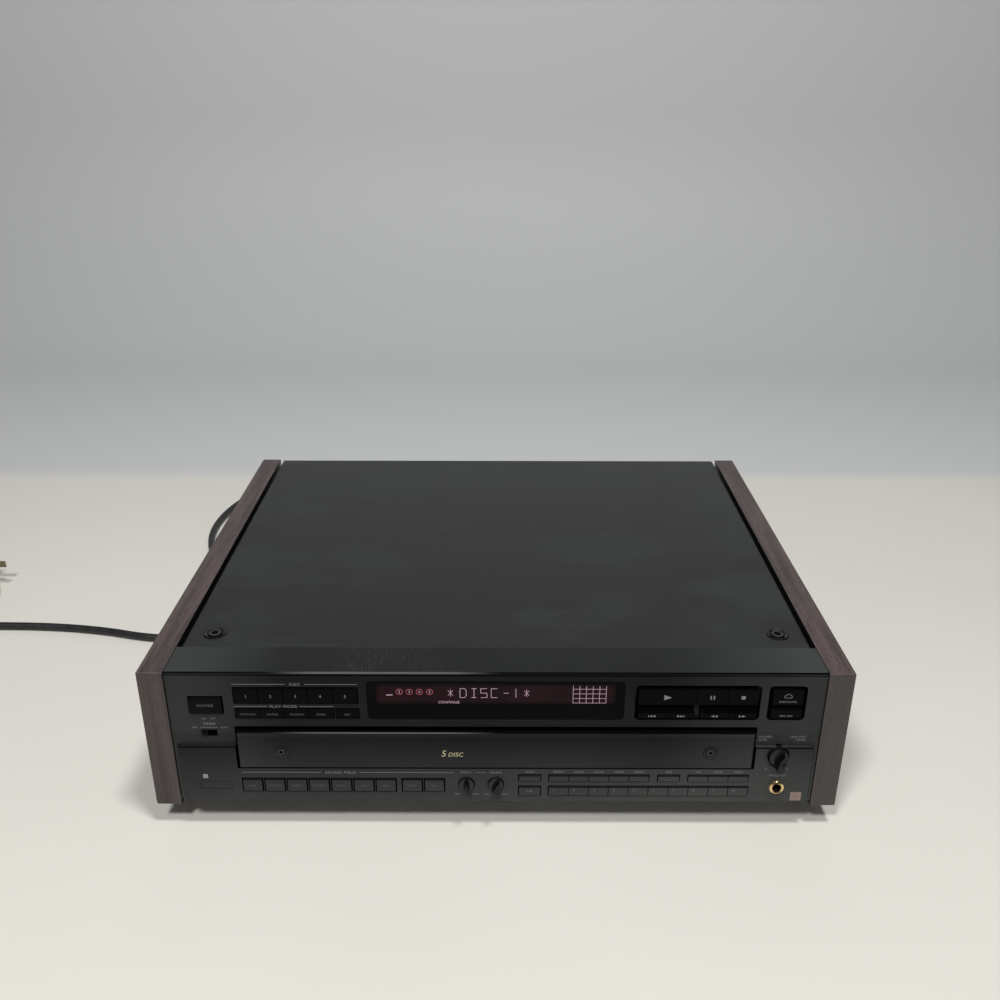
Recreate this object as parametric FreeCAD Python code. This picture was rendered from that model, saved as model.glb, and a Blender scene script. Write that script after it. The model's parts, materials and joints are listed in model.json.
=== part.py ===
"""Five-disc carousel CD changer with wood side panels, as separate pieces.

Millimetres. +X to the right, +Y to the back, +Z up. The origin is the middle of the object's footprint, on the
surface that it stands on. Each piece is written to parts/NAME.step, in its place with the drawer closed.
"""
import FreeCAD
import Part
import math
import os

from FreeCAD import Vector

# Overall sizes
WIDTH = 470.0            # over the wood panels
HEIGHT = 125.0           # from the feet to the top of the wood panels
PANEL_DEPTH = 383.6      # wood panels, front to back
KNOB_PROUD = 10.0        # knobs stand this far before the wood panels
JACK_PROUD = 8.0         # rear jacks stand this far behind the wood panels

# Casing
WOOD_T = 17.5
WOOD_BOTTOM = 17.4
WOOD_ROUND = 1.2
SIDE_GAP = 2.5           # dark gap between cover and wood
FOOT_H = 18.0
FOOT_R = 24.0
FOOT_IN_X = 52.0         # foot centre from the object's side
FOOT_IN_FRONT = 52.0
FOOT_IN_REAR = 58.0
SHEET = 1.2              # steel sheet
COVER_DROP = 0.7         # cover lies this far under the wood's top
BEZEL_DROP = 0.5         # and the bezel's top strip this far
TOP_STRIP = 32.5         # depth of the bezel's top surface
REAR_INSET = 1.5
SEAM = 0.3               # seams and face-to-face running gaps

# Front panels
BEZEL_SET_BACK = 1.5     # upper face behind the wood's front
BEZEL_T = 4.0
FASCIA_PROUD = 2.0       # lower face before the wood's front
FASCIA_T = 3.5
FASCIA_INSET = 3.0       # from the bezel's side to the lower face's
FASCIA_ROUND = 1.5
FASCIA_BEVEL = 0.7
FASCIA_BOTTOM = 22.3
LEDGE_Z = 67.7
GROOVE_H = 1.1           # shadow groove under the top edge
GROOVE_DEPTH = 1.0
TOP_BEVEL = 1.0
RIB_SET_BACK = 3.0       # rib between the lower transport keys, behind the bezel's face

# Drawer
DRAWER_HALF = 173.2
DRAWER_Z0 = 50.6
DRAWER_Z1 = 79.5
DRAWER_SIDE_GAP = 1.8
DRAWER_TOP_GAP = 2.6
DRAWER_FOOT_GAP = 0.5
DRAWER_BOLT_X = 144.5
DRAWER_BOLT_Z = 63.6
TRAY_HALF = 172.5
TRAY_WALL = 2.5
TRAY_FLOOR_Z = 54.0
TRAY_FLOOR_T = 2.5
TRAY_TOP_Z = 77.0
TRAY_REAR_Z = 73.4       # the rear wall passes under the clamper
RUNNER_H = 3.2
DRAWER_TRAVEL = 235.0

# Carousel
DISC_R = 60.0
WELL_CLEAR = 1.0
DISCS = 5
TABLE_R = 166.5
WELL_RING_R = 103.5      # disc centres from the table's centre
TABLE_TOP_Z = 72.0
TABLE_T = 7.0
WELL_DEPTH = 3.2
SMALL_WELL_R = 40.7
SMALL_WELL_DEPTH = 1.3
PAN_T = 2.0
GEAR_MODULE = 2.0
RING_TEETH = 164
PINION_TEETH = 12
RING_GEAR_H = 6.0
PRESSURE_ANGLE = math.radians(20.0)
BACKLASH = 0.22
PINION_ANGLE = math.radians(50.0)   # from the rear, towards the left
MOTOR_PLATE_RIM = 2.2    # table motor's plate beyond the pinion's tips

# Drawer drive
RACK_MODULE = 1.5
LOADING_TEETH = 16
RACK_X = 106.0           # pitch line of the rack
RACK_WEB = 5.0
LOADING_Y = 44.0         # loading gear behind the wood's front
PULLEY_R = 20.0
MOTOR_PULLEY_R = 5.0
MOTOR_X = 58.0
BELT_T = 1.2
BELT_H = 2.4
SHAFT_R = 2.0
SHAFT_FIT = 0.06

# Pickup unit
PICKUP_HALF = 42.0
TURNTABLE_R = 15.5
TURNTABLE_TOP = 52.5
PICKUP_Z0 = 38.0
PICKUP_Z1 = 45.0
HINGE_BEHIND = 79.5      # lift hinge behind the turntable's centre
SLED_IN = 25.0           # lens from the disc's centre at the innermost track
SLED_TRAVEL = 33.0
ROD_R = 1.5
ROD_X = 22.0

# Keys: travel, gaps and the places of rows on the front (x and z of the openings)
KEY_GAP = 0.7
WIDE_GAP = 0.95
KEY_TRAVEL = 0.8
POWER_TRAVEL = 2.5
KEY_BEVEL = 0.9
KEY_PROUD = 0.6
STEM_R = 1.6
BOARD_Y = 16.0           # front board behind the wood's front
BOARD_T = 1.6
SWITCH_H = 3.6

# Derived places
FRONT = -(KNOB_PROUD + PANEL_DEPTH + JACK_PROUD) / 2 + KNOB_PROUD
REAR = FRONT + PANEL_DEPTH - REAR_INSET
INNER_X = WIDTH / 2 - WOOD_T           # inner faces of the wood panels
COVER_X = INNER_X - SIDE_GAP
COVER_TOP = HEIGHT - COVER_DROP
BEZEL_TOP = HEIGHT - BEZEL_DROP
BEZEL_X = INNER_X - 0.2
FASCIA_X = BEZEL_X - FASCIA_INSET
BEZEL_FACE = FRONT + BEZEL_SET_BACK
BEZEL_BACK = BEZEL_FACE + BEZEL_T
FASCIA_FACE = FRONT - FASCIA_PROUD
OPENING_HALF = DRAWER_HALF + DRAWER_SIDE_GAP
OPENING_Z0 = DRAWER_Z0 - DRAWER_FOOT_GAP
OPENING_Z1 = DRAWER_Z1 + DRAWER_TOP_GAP
FLOOR_Z = FOOT_H + SHEET               # top of the chassis floor
TABLE_Y = FRONT + 14.0 + TABLE_R
TABLE_Z0 = TABLE_TOP_Z - TABLE_T
WELL_R = DISC_R + WELL_CLEAR
TURN_Y = TABLE_Y + WELL_RING_R         # playing position, at the back
HINGE_Y = TURN_Y + HINGE_BEHIND
HINGE_Z = (PICKUP_Z0 + PICKUP_Z1) / 2
RING_R = GEAR_MODULE * RING_TEETH / 2
PINION_PITCH_R = GEAR_MODULE * PINION_TEETH / 2
MOTOR_PLATE_R = PINION_PITCH_R + GEAR_MODULE + MOTOR_PLATE_RIM
PINION_X = -(RING_R + PINION_PITCH_R) * math.sin(PINION_ANGLE)
PINION_Y = TABLE_Y + (RING_R + PINION_PITCH_R) * math.cos(PINION_ANGLE)
RING_Z1 = TABLE_Z0
RING_Z0 = RING_Z1 - RING_GEAR_H
LOADING_R = RACK_MODULE * LOADING_TEETH / 2
LOADING_X = RACK_X + LOADING_R
LOADING_GEAR_Y = FRONT + LOADING_Y
RUNNER_Z0 = TRAY_FLOOR_Z - RUNNER_H
BEAM_Z1 = RUNNER_Z0 - SEAM
BEAM_Z0 = BEAM_Z1 - 4.5
RAIL_X = TRAY_HALF + 0.5
RAIL_T = 3.0
RAIL_Z1 = TRAY_TOP_Z + 2.5
PULLEY_Z0 = BEAM_Z0 - 5.8
PULLEY_H = 4.6

X_AXIS = Vector(1, 0, 0)
Y_AXIS = Vector(0, 1, 0)
Z_AXIS = Vector(0, 0, 1)


# Shapes that many pieces use

def box(x0, x1, y0, y1, z0, z1):
    """A block between two corners."""
    return Part.makeBox(x1 - x0, y1 - y0, z1 - z0, Vector(x0, y0, z0))


def rod(radius, start, axis, length):
    """A round bar from a point along an axis."""
    return Part.makeCylinder(radius, length, Vector(*start), axis)


def join(shapes):
    """One solid out of several that touch."""
    whole = shapes[0].fuse(shapes[1:]) if len(shapes) > 1 else shapes[0]
    return whole.removeSplitter()


def cut(shape, tools):
    """A shape with every tool taken out."""
    return shape.cut(tools) if tools else shape


def outline(points):
    """A closed face through points, straight from each to the next."""
    return Part.Face(Part.makePolygon(points + points[:1]))


def rounded(width, height, radius):
    """A rounded rectangle in the XY plane with its low corner at the origin, as a face."""
    r = radius
    q = r * (1 - math.sqrt(0.5))
    corners = [
        (Vector(width - r, 0, 0), Vector(width - q, q, 0), Vector(width, r, 0)),
        (Vector(width, height - r, 0), Vector(width - q, height - q, 0), Vector(width - r, height, 0)),
        (Vector(r, height, 0), Vector(q, height - q, 0), Vector(0, height - r, 0)),
        (Vector(0, r, 0), Vector(q, q, 0), Vector(r, 0, 0)),
    ]
    edges = []
    for number, corner in enumerate(corners):
        edges.append(Part.Arc(*corner).toShape())
        start = corner[2]
        end = corners[(number + 1) % 4][0]
        edges.append(Part.LineSegment(start, end).toShape())
    return Part.Face(Part.Wire(edges))


def slab_y(x0, x1, z0, z1, y0, y1, radius):
    """A plate facing the front, with rounded corners."""
    face = rounded(x1 - x0, z1 - z0, radius)
    face.rotate(Vector(0, 0, 0), X_AXIS, 90)
    face.translate(Vector(x0, y0, z0))
    return face.extrude(Vector(0, y1 - y0, 0))


def slab_z(x0, x1, y0, y1, z0, z1, radius):
    """A flat plate with rounded corners in plan."""
    face = rounded(x1 - x0, y1 - y0, radius)
    face.translate(Vector(x0, y0, z0))
    return face.extrude(Vector(0, 0, z1 - z0))


def profile_x(points, x0, x1):
    """A section drawn in Y and Z, drawn out along X."""
    face = outline([Vector(x0, y, z) for y, z in points])
    return face.extrude(Vector(x1 - x0, 0, 0))


def turned(points, centre, axis=Z_AXIS):
    """A section of radius and height turned round an axis through the centre."""
    face = outline([Vector(r, 0, h) for r, h in points])
    solid = face.revolve(Vector(0, 0, 0), Z_AXIS, 360)
    if axis.isEqual(Y_AXIS, 1e-9):
        solid.rotate(Vector(0, 0, 0), X_AXIS, -90)
    solid.translate(Vector(*centre))
    return solid


def save(name, shapes):
    """Writes one piece. Shapes that don't touch stay separate solids of it."""
    solids = []
    for shape in shapes:
        solids.extend(shape.Solids)
    whole = solids[0] if len(solids) == 1 else Part.makeCompound(solids)
    whole.exportStep(os.path.join("parts", name + ".step"))
    print(f"{name}: {len(solids)} solids, {whole.Volume / 1000:.2f} cm3")


# Gear teeth

def involute_half_angle(base_r, radius, pitch_r, half_at_pitch):
    """Half the angle of a tooth at a radius, from its half angle at the pitch circle."""
    def turn(r):
        roll = math.acos(min(1.0, base_r / r))
        return math.tan(roll) - roll
    return half_at_pitch + turn(pitch_r) - turn(max(radius, base_r))


def gear(teeth, module, height, centre, phase, steps, addendum=0.8, dedendum=1.05):
    """A spur gear as a solid disc. A tooth points along the angle phase. steps is the points on a flank."""
    pitch_r = module * teeth / 2
    base_r = pitch_r * math.cos(PRESSURE_ANGLE)
    tip_r = pitch_r + addendum * module
    root_r = pitch_r - dedendum * module
    half = (math.pi * module / 2 - BACKLASH) / (2 * pitch_r)
    points = []
    for tooth in range(teeth):
        middle = phase + 2 * math.pi * tooth / teeth
        flank = []
        for step in range(steps):
            radius = root_r + (tip_r - root_r) * step / (steps - 1)
            flank.append((radius, involute_half_angle(base_r, radius, pitch_r, half)))
        for radius, angle in flank:
            points.append(polar(centre, radius, middle - angle))
        for radius, angle in reversed(flank):
            points.append(polar(centre, radius, middle + angle))
    return outline(points).extrude(Vector(0, 0, height))


def polar(centre, radius, angle):
    """A point at a radius and angle round a vertical axis."""
    x, y, z = centre
    return Vector(x + radius * math.cos(angle), y + radius * math.sin(angle), z)


def rack_points(y_start, teeth):
    """The toothed edge of the rack along Y, facing +X. A tooth's middle is at y_start."""
    pitch = math.pi * RACK_MODULE
    tip_x = RACK_X + 0.8 * RACK_MODULE
    root_x = RACK_X - 1.05 * RACK_MODULE
    half = (pitch / 2 - BACKLASH) / 2
    slope = math.tan(PRESSURE_ANGLE)
    edge = []
    for tooth in range(teeth):
        middle = y_start + pitch * tooth
        root_half = half + (RACK_X - root_x) * slope
        tip_half = half - (tip_x - RACK_X) * slope
        edge += [(root_x, middle - root_half), (tip_x, middle - tip_half)]
        edge += [(tip_x, middle + tip_half), (root_x, middle + root_half)]
    return edge


def edges_where(shape, test):
    """The edges whose middle point passes a test."""
    return [edge for edge in shape.Edges if test(edge.CenterOfMass)]


# Keys and their openings on the front

class Row:
    """A row of equal keys: low corner, count, pitch and height, and the panel that it comes through.

    Keys share one slot unless a gap is given; then each has an opening of its own.
    """

    def __init__(self, x0, count, pitch, z0, height, upper, spacing=0.5, gap=None):
        self.x0 = x0
        self.count = count
        self.pitch = pitch
        self.z0 = z0
        self.z1 = z0 + height
        self.upper = upper
        self.spacing = spacing
        self.shared = gap is None
        self.gap = gap or KEY_GAP

    def spans(self):
        """Left and right side of each key."""
        lefts = [self.x0 + self.pitch * number for number in range(self.count)]
        return [(left + self.spacing / 2, left + self.pitch - self.spacing / 2) for left in lefts]

    def face(self):
        return (BEZEL_FACE if self.upper else FASCIA_FACE) - KEY_PROUD

    def openings(self, y0, y1):
        """What the panel loses: one slot for the row, or one for each key."""
        spans = self.spans()
        if self.shared:
            spans = [(spans[0][0], spans[-1][1])]
        low = self.z0 - self.gap
        high = self.z1 + self.gap
        return [box(left - self.gap, right + self.gap, y0, y1, low, high) for left, right in spans]

    def keys(self, travel=KEY_TRAVEL):
        """The caps, each with a bevel along its top and a stem that ends before its switch."""
        solids = []
        for left, right in self.spans():
            solids.append(key_cap(left, right, self.z0, self.z1, self.face(), travel))
        return solids


def key_cap(left, right, z0, z1, face, travel=KEY_TRAVEL, slope=0.0, slope_in=0.0):
    """One key. slope is the height of a sunk upper part, which runs back by slope_in."""
    back = BEZEL_BACK + 1.5
    if slope:
        section = [(face, z0), (face, z1 - slope), (face + slope_in, z1), (back, z1), (back, z0)]
    else:
        section = [(face, z0), (face, z1 - KEY_BEVEL), (face + KEY_BEVEL * 0.6, z1), (back, z1), (back, z0)]
    cap = profile_x(section, left, right)
    stem_end = FRONT + BOARD_Y - SWITCH_H - travel - 0.1
    stem = rod(STEM_R, ((left + right) / 2, back - 0.5, (z0 + z1) / 2), Y_AXIS, stem_end - back + 0.5)
    return join([cap, stem])


DISC_KEYS = Row(-173.1, 5, 16.38, 100.8, 11.7, True)
MODE_KEYS = Row(-173.0, 4, 16.35, 89.0, 7.1, True)
EDIT_KEY = Row(-105.8, 1, 14.6, 89.0, 7.1, True, spacing=0.0)
FIELD_KEYS = Row(-173.5, 7, 15.17, 31.55, 9.8, False, spacing=2.4, gap=WIDE_GAP)
FIELD_KEYS_RIGHT = Row(-64.6, 2, 15.17, 31.55, 9.8, False, spacing=2.4, gap=WIDE_GAP)
SCAN_KEY = Row(15.9, 1, 14.5, 40.3, 4.7, False, spacing=0.0)
OVER_TEN_KEY = Row(15.9, 1, 14.5, 28.2, 7.3, False, spacing=0.0)
FUNCTION_KEYS = Row(36.0, 5, 13.64, 40.3, 4.7, False)
TITLE_KEY = Row(110.5, 1, 14.2, 40.3, 4.7, False, spacing=0.0)
FILE_KEYS = Row(130.8, 3, 13.64, 40.3, 4.7, False)
NUMBER_KEYS = Row(36.0, 10, 13.64, 28.2, 7.3, False)
UPPER_ROWS = [DISC_KEYS, MODE_KEYS, EDIT_KEY]
LOWER_ROWS = [FIELD_KEYS, FIELD_KEYS_RIGHT, SCAN_KEY, OVER_TEN_KEY, FUNCTION_KEYS, TITLE_KEY, FILE_KEYS,
              NUMBER_KEYS]

POWER = (-203.8, -180.4, 92.2, 106.1)
TIMER_SLOT = (-197.5, -186.7, 74.3, 79.3)
TIMER_KNOB_W = 4.4
TIMER_TRAVEL = 5.6
WINDOW = (-85.2, 85.2, 87.9, 118.0)
WINDOW_ROUND = 3.5
TRANSPORT = (92.0, 175.0, 88.0, 115.0)
POCKET_ROUND = 3.0
POCKET_KEY_Z = 100.3                 # the upper keys of the pockets stand on this line
POCKET_KEY_Z1 = 112.9
POCKET_LOW_Z = 89.7
SLOPE_H = 6.4
SLOPE_IN = 3.4
UPPER_TRANSPORT = {"play_key": (94.1, 132.5), "pause_key": (132.9, 152.9), "stop_key": (153.3, 173.0)}
LOWER_TRANSPORT = {"previous_key": (94.5, 113.4), "next_key": (113.8, 131.5),
                   "rewind_key": (135.8, 154.2), "forward_key": (154.6, 173.0)}
DRAWER_POCKET = (180.0, 205.2, 88.0, 114.7)
DRAWER_KEY_X = (182.6, 202.8)
LEVEL_KNOB = (190.6, 60.5, 6.5, KNOB_PROUD - FASCIA_PROUD, 20.0)      # x, z, radius, height, angle of the pointer
SMALL_KNOBS = {"effect_knob": (-20.0, 37.4, 5.3, 6.5, 0.0), "reverb_knob": (0.0, 37.4, 5.3, 6.5, 22.0)}
KNOB_GAP = 0.9
LEVEL_SINK = 1.7         # width of the bevel round the level knob's hole
KNOB_SHAFT_R = 3.0
JACK = (191.7, 35.6)
JACK_RING_R = 5.3
JACK_R = 3.2
TOP_BOLT_X = 196.0
TOP_BOLT_Y = 51.0
WASHER_R = 8.0
WASHER_SEAT = 1.5                    # the outer ring of a cup washer lies on its panel
SHANK_R = 1.6
TOP_BOLT_REACH = 6.5
DRAWER_BOLT_REACH = 9.0
DRAWER_WASHER_R = 5.0


# Casing

def chassis_base():
    """Folded pan: floor with cooling slots, side walls inside the cover and low lips against the wood."""
    floor = box(-INNER_X, INNER_X, BEZEL_BACK, REAR, FOOT_H, FLOOR_Z)
    walls = []
    for side in (-1, 1):
        outer = side * (COVER_X - SHEET - SEAM)
        low, high = sorted((outer, outer - side * SHEET))
        walls.append(box(low, high, BEZEL_BACK, REAR - SHEET, FOOT_H, FOOT_H + 26.0))
        low, high = sorted((side * INNER_X, side * (INNER_X - SHEET)))
        walls.append(box(low, high, BEZEL_BACK, REAR, FOOT_H, FOOT_H + 4.0))
    walls.append(box(-INNER_X, INNER_X, BEZEL_BACK, BEZEL_BACK + SHEET, FOOT_H, FOOT_H + 9.0))
    pan = join([floor] + walls + [bolt_bracket(side) for side in (-1, 1)])
    slots = []
    slot_gap = 12.0
    for side in (-1, 1):
        for number in range(9):
            x = side * 60.0 + (number - 4) * slot_gap
            slots.append(box(x - 2.0, x + 2.0, TABLE_Y - 22.0, TABLE_Y + 22.0, FOOT_H - 1, FLOOR_Z + 1))
    for x, y in foot_centres():
        slots.append(rod(2.2, (x, y, FOOT_H - 1), Z_AXIS, SHEET + 2))
    return [cut(pan, slots)]


def bolt_bracket(side):
    """Tab that stands up from a side wall and turns in under the cover, with the nut hole of the cover's bolt."""
    outer = side * (COVER_X - SHEET - SEAM)
    y = FRONT + TOP_BOLT_Y
    top = COVER_TOP - SHEET - 0.6
    low, high = sorted((outer, outer - side * SHEET))
    tab = box(low, high, y - 13.0, y + 13.0, FOOT_H, top)
    low, high = sorted((outer, side * (TOP_BOLT_X - 9.0)))
    shelf = box(low, high, y - 13.0, y + 13.0, top - 2.5, top)
    hole = rod(SHANK_R + SHAFT_FIT, (side * TOP_BOLT_X, y, top - 4.0), Z_AXIS, 6.0)
    return cut(join([tab, shelf]), [hole])


def foot_centres():
    """Middle of each foot in plan."""
    xs = (-WIDTH / 2 + FOOT_IN_X, WIDTH / 2 - FOOT_IN_X)
    ys = (FRONT + FOOT_IN_FRONT, FRONT + PANEL_DEPTH - FOOT_IN_REAR)
    return [(x, y) for x in xs for y in ys]


def feet():
    """Round hollow feet with a rubber ring below and a screw up into the pan."""
    solids = []
    ring_h = 2.5
    for x, y in foot_centres():
        body = [(5.0, 6.0), (FOOT_R - 7.0, 6.0), (FOOT_R - 5.5, ring_h), (FOOT_R - 0.8, ring_h),
                (FOOT_R, ring_h + 1.5), (FOOT_R, FOOT_H - 1.2), (FOOT_R - 1.2, FOOT_H), (2.2, FOOT_H),
                (2.2, FOOT_H - 3.0), (5.0, FOOT_H - 3.0)]
        ring = [(FOOT_R - 5.0, 0), (FOOT_R - 1.5, 0), (FOOT_R - 1.5, ring_h), (FOOT_R - 5.0, ring_h)]
        solids.append(turned(body, (x, y, 0)))
        solids.append(turned(ring, (x, y, 0)))
    return solids


def rear_panel():
    """Back sheet with the holes for the jacks and the cord."""
    z1 = COVER_TOP - SHEET - SEAM
    half = COVER_X - SHEET - SEAM
    plate = slab_y(-half, half, FLOOR_Z, z1, REAR - SHEET, REAR, 1.5)
    holes = []
    for x, z in jack_centres():
        holes.append(rod(JACK_FLANGE_R - 1.2, (x, REAR - 5, z), Y_AXIS, 10))
    holes.append(rod(GLAND_R + SHAFT_FIT, (GLAND_X, REAR - 5, GLAND_Z), Y_AXIS, 10))
    holes.append(slab_y(OPTICAL_X - 5, OPTICAL_X + 5, OPTICAL_Z - 5, OPTICAL_Z + 5, REAR - 5, REAR + 5, 0.8))
    return [cut(plate, holes)]


JACK_FLANGE_R = 6.2
JACK_BARREL_R = 4.15
JACK_X = (120.0, 138.0)
JACK_Z = (50.0, 69.0)
OPTICAL_X = 88.0
OPTICAL_Z = 59.0
GLAND_X = -180.0
GLAND_Z = 46.0
GLAND_R = 6.0


def jack_centres():
    """Phono jacks of the rear, two by two."""
    return [(x, z) for x in JACK_X for z in JACK_Z]


def rear_jacks():
    """Phono jacks with flange and barrel, and the shuttered optical socket."""
    solids = []
    length = JACK_PROUD + REAR_INSET
    for x, z in jack_centres():
        section = [(1.7, -6), (JACK_FLANGE_R - 1.3, -6), (JACK_FLANGE_R - 1.3, 0.1), (JACK_FLANGE_R, 0.1),
                   (JACK_FLANGE_R, 1.1), (JACK_BARREL_R, 1.1), (JACK_BARREL_R, length - 0.4),
                   (JACK_BARREL_R - 0.4, length), (3.2, length), (3.2, 2.0), (1.7, 2.0)]
        solids.append(turned(section, (x, REAR, z), Y_AXIS))
    socket = slab_y(OPTICAL_X - 4.9, OPTICAL_X + 4.9, OPTICAL_Z - 4.9, OPTICAL_Z + 4.9, REAR - 9, REAR + 2.0, 0.7)
    recess = slab_y(OPTICAL_X - 3.2, OPTICAL_X + 3.2, OPTICAL_Z - 3.2, OPTICAL_Z + 3.2, REAR - 1.0, REAR + 3, 0.6)
    solids.append(cut(socket, [recess]))
    return solids


def top_cover():
    """Bent sheet over the top and both sides, with the seats of its two bolts."""
    y0 = FRONT + TOP_STRIP + SEAM
    outer = box(-COVER_X, COVER_X, y0, REAR, FOOT_H + 4.0, COVER_TOP)
    inner = box(-COVER_X + SHEET, COVER_X - SHEET, y0 - 1, REAR + 1, FOOT_H, COVER_TOP - SHEET)

    def bend(reach, top):
        return lambda point: abs(abs(point.x) - reach) < 0.01 and abs(point.z - top) < 0.01
    outer = outer.makeFillet(2.6, edges_where(outer, bend(COVER_X, COVER_TOP)))
    inner = inner.makeFillet(1.4, edges_where(inner, bend(COVER_X - SHEET, COVER_TOP - SHEET)))
    shell = outer.cut(inner)
    holes = []
    for side in (-1, 1):
        holes.append(rod(WASHER_R - WASHER_SEAT, (side * TOP_BOLT_X, FRONT + TOP_BOLT_Y, HEIGHT - 10), Z_AXIS, 20))
    return [cut(shell, holes)]


def wood_panel(side):
    """A side board with eased long edges."""
    low, high = sorted((side * INNER_X, side * WIDTH / 2))
    board = box(low, high, FRONT, FRONT + PANEL_DEPTH, WOOD_BOTTOM, HEIGHT)

    def outer_edge(point):
        ends = abs(point.y - FRONT) < 0.01 or abs(point.y - FRONT - PANEL_DEPTH) < 0.01
        tops = abs(point.z - HEIGHT) < 0.01 or abs(point.z - WOOD_BOTTOM) < 0.01
        sides = abs(abs(point.x) - WIDTH / 2) < 0.01
        return (ends + tops + sides) >= 2
    return [board.makeFillet(WOOD_ROUND, edges_where(board, outer_edge))]


def front_bezel():
    """Upper face and top strip in one, with every opening of the upper half."""
    face = box(-BEZEL_X, BEZEL_X, BEZEL_FACE, BEZEL_BACK, LEDGE_Z, BEZEL_TOP)
    strip = box(-BEZEL_X, BEZEL_X, BEZEL_FACE, FRONT + TOP_STRIP, BEZEL_TOP - 3.0, BEZEL_TOP)
    cheeks = []
    for side in (-1, 1):
        low, high = sorted((side * (FASCIA_X + SEAM), side * BEZEL_X))
        cheeks.append(box(low, high, BEZEL_FACE, BEZEL_BACK, FASCIA_BOTTOM, LEDGE_Z))
    body = join([face, strip] + cheeks)

    def top_front(point):
        return abs(point.y - BEZEL_FACE) < 0.01 and abs(point.z - BEZEL_TOP) < 0.01
    body = body.makeChamfer(TOP_BEVEL, edges_where(body, top_front))
    groove_z = BEZEL_TOP - TOP_BEVEL - 0.6
    tools = [box(-BEZEL_X - 1, BEZEL_X + 1, BEZEL_FACE - 1, BEZEL_FACE + GROOVE_DEPTH,
                 groove_z - GROOVE_H, groove_z)]
    y0 = BEZEL_FACE - 1
    y1 = BEZEL_BACK + 1
    tools.append(box(-OPENING_HALF, OPENING_HALF, y0, y1, LEDGE_Z - 1, OPENING_Z1))
    for row in UPPER_ROWS:
        tools += row.openings(y0, y1)
    tools.append(box(POWER[0], POWER[1], y0, y1, POWER[2], POWER[3]))
    tools.append(box(TIMER_SLOT[0], TIMER_SLOT[1], y0, y1, TIMER_SLOT[2], TIMER_SLOT[3]))
    tools.append(slab_y(*WINDOW, y0, y1, WINDOW_ROUND))
    tools.append(slab_y(*TRANSPORT, y0, y1, POCKET_ROUND))
    tools.append(slab_y(*DRAWER_POCKET, y0, y1, POCKET_ROUND))
    tools.append(rod(LEVEL_KNOB[2] + KNOB_GAP + 0.8, (LEVEL_KNOB[0], y0, LEVEL_KNOB[1]), Y_AXIS, 12))
    rib_x0 = LOWER_TRANSPORT["next_key"][1] + KEY_GAP / 2
    rib_x1 = LOWER_TRANSPORT["rewind_key"][0] - KEY_GAP / 2
    rib = box(rib_x0, rib_x1, BEZEL_FACE + RIB_SET_BACK, BEZEL_BACK, TRANSPORT[2], POCKET_KEY_Z - KEY_GAP)
    return [join([cut(body, tools), rib])]


def lower_fascia():
    """Lower face, proud of the upper one, with a ledge along its top beside the drawer and a rim behind."""
    half = FASCIA_X
    outer = slab_y(-half, half, FASCIA_BOTTOM, LEDGE_Z, FASCIA_FACE, BEZEL_BACK, FASCIA_ROUND)
    rim = 3.0
    hollow = box(-half + rim, half - rim, FASCIA_FACE + FASCIA_T, BEZEL_BACK + 1, FASCIA_BOTTOM + rim, LEDGE_Z - rim)
    notch = box(-OPENING_HALF, OPENING_HALF, FASCIA_FACE - 1, BEZEL_BACK + 2, OPENING_Z0, LEDGE_Z + 1)
    shell = cut(outer, [hollow])
    sill = box(-OPENING_HALF - rim, OPENING_HALF + rim, FASCIA_FACE + 1, BEZEL_BACK, OPENING_Z0 - rim, OPENING_Z0)
    posts = []
    for side in (-1, 1):
        low, high = sorted((side * OPENING_HALF, side * (OPENING_HALF + rim)))
        posts.append(box(low, high, FASCIA_FACE + 1, BEZEL_BACK, OPENING_Z0 - rim, LEDGE_Z))
    body = join([shell, sill] + posts)

    body = body.makeChamfer(FASCIA_BEVEL, edges_where(body, lambda point: abs(point.y - FASCIA_FACE) < 0.01))
    y0 = FASCIA_FACE - 1
    y1 = BEZEL_BACK + 1
    tools = [notch]
    for row in LOWER_ROWS:
        tools += row.openings(y0, y1)
    level_r = LEVEL_KNOB[2] + KNOB_GAP
    tools.append(rod(level_r, (LEVEL_KNOB[0], y0, LEVEL_KNOB[1]), Y_AXIS, 14))
    sink = [(0, -1), (level_r + LEVEL_SINK, -1), (level_r + LEVEL_SINK, 0), (level_r, LEVEL_SINK / 2), (0, LEVEL_SINK / 2)]
    tools.append(turned(sink, (LEVEL_KNOB[0], FASCIA_FACE, LEVEL_KNOB[1]), Y_AXIS))
    for x, z, radius, _, _ in SMALL_KNOBS.values():
        tools.append(rod(radius + KNOB_GAP / 2, (x, y0, z), Y_AXIS, 14))
    tools.append(rod(JACK_RING_R - 0.6, (JACK[0], y0, JACK[1]), Y_AXIS, 14))
    return [cut(body, tools)]


def display_window():
    """Smoked lens, flush with the bezel, with a rim behind that seats in the opening."""
    x0, x1, z0, z1 = WINDOW
    gap = 0.15
    return [slab_y(x0 + gap, x1 - gap, z0 + gap, z1 - gap, BEZEL_FACE - 0.05, BEZEL_FACE + 2.4, WINDOW_ROUND)]


def display_tube():
    """Flat glass tube of the display, with its sealed tip and pins down to the front board."""
    x0, x1, z0, z1 = WINDOW
    tube = slab_y(x0 + 5.0, x1 - 5.0, z0 + 4.0, z1 - 1.0, BEZEL_BACK + 1.0, BEZEL_BACK + 6.5, 2.0)
    tip = rod(1.8, (x0 + 2.5, BEZEL_BACK + 3.8, (z0 + z1) / 2), X_AXIS, 3.0)
    pins = [box(x - 2.0, x + 2.0, BEZEL_BACK + 6.4, FRONT + BOARD_Y, z0 + 6.0, z0 + 7.0)
            for x in range(-70, 71, 20)]
    return [join([tube, tip] + pins)]


def key_rows():
    """Every row of the front."""
    return UPPER_ROWS + LOWER_ROWS


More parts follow.
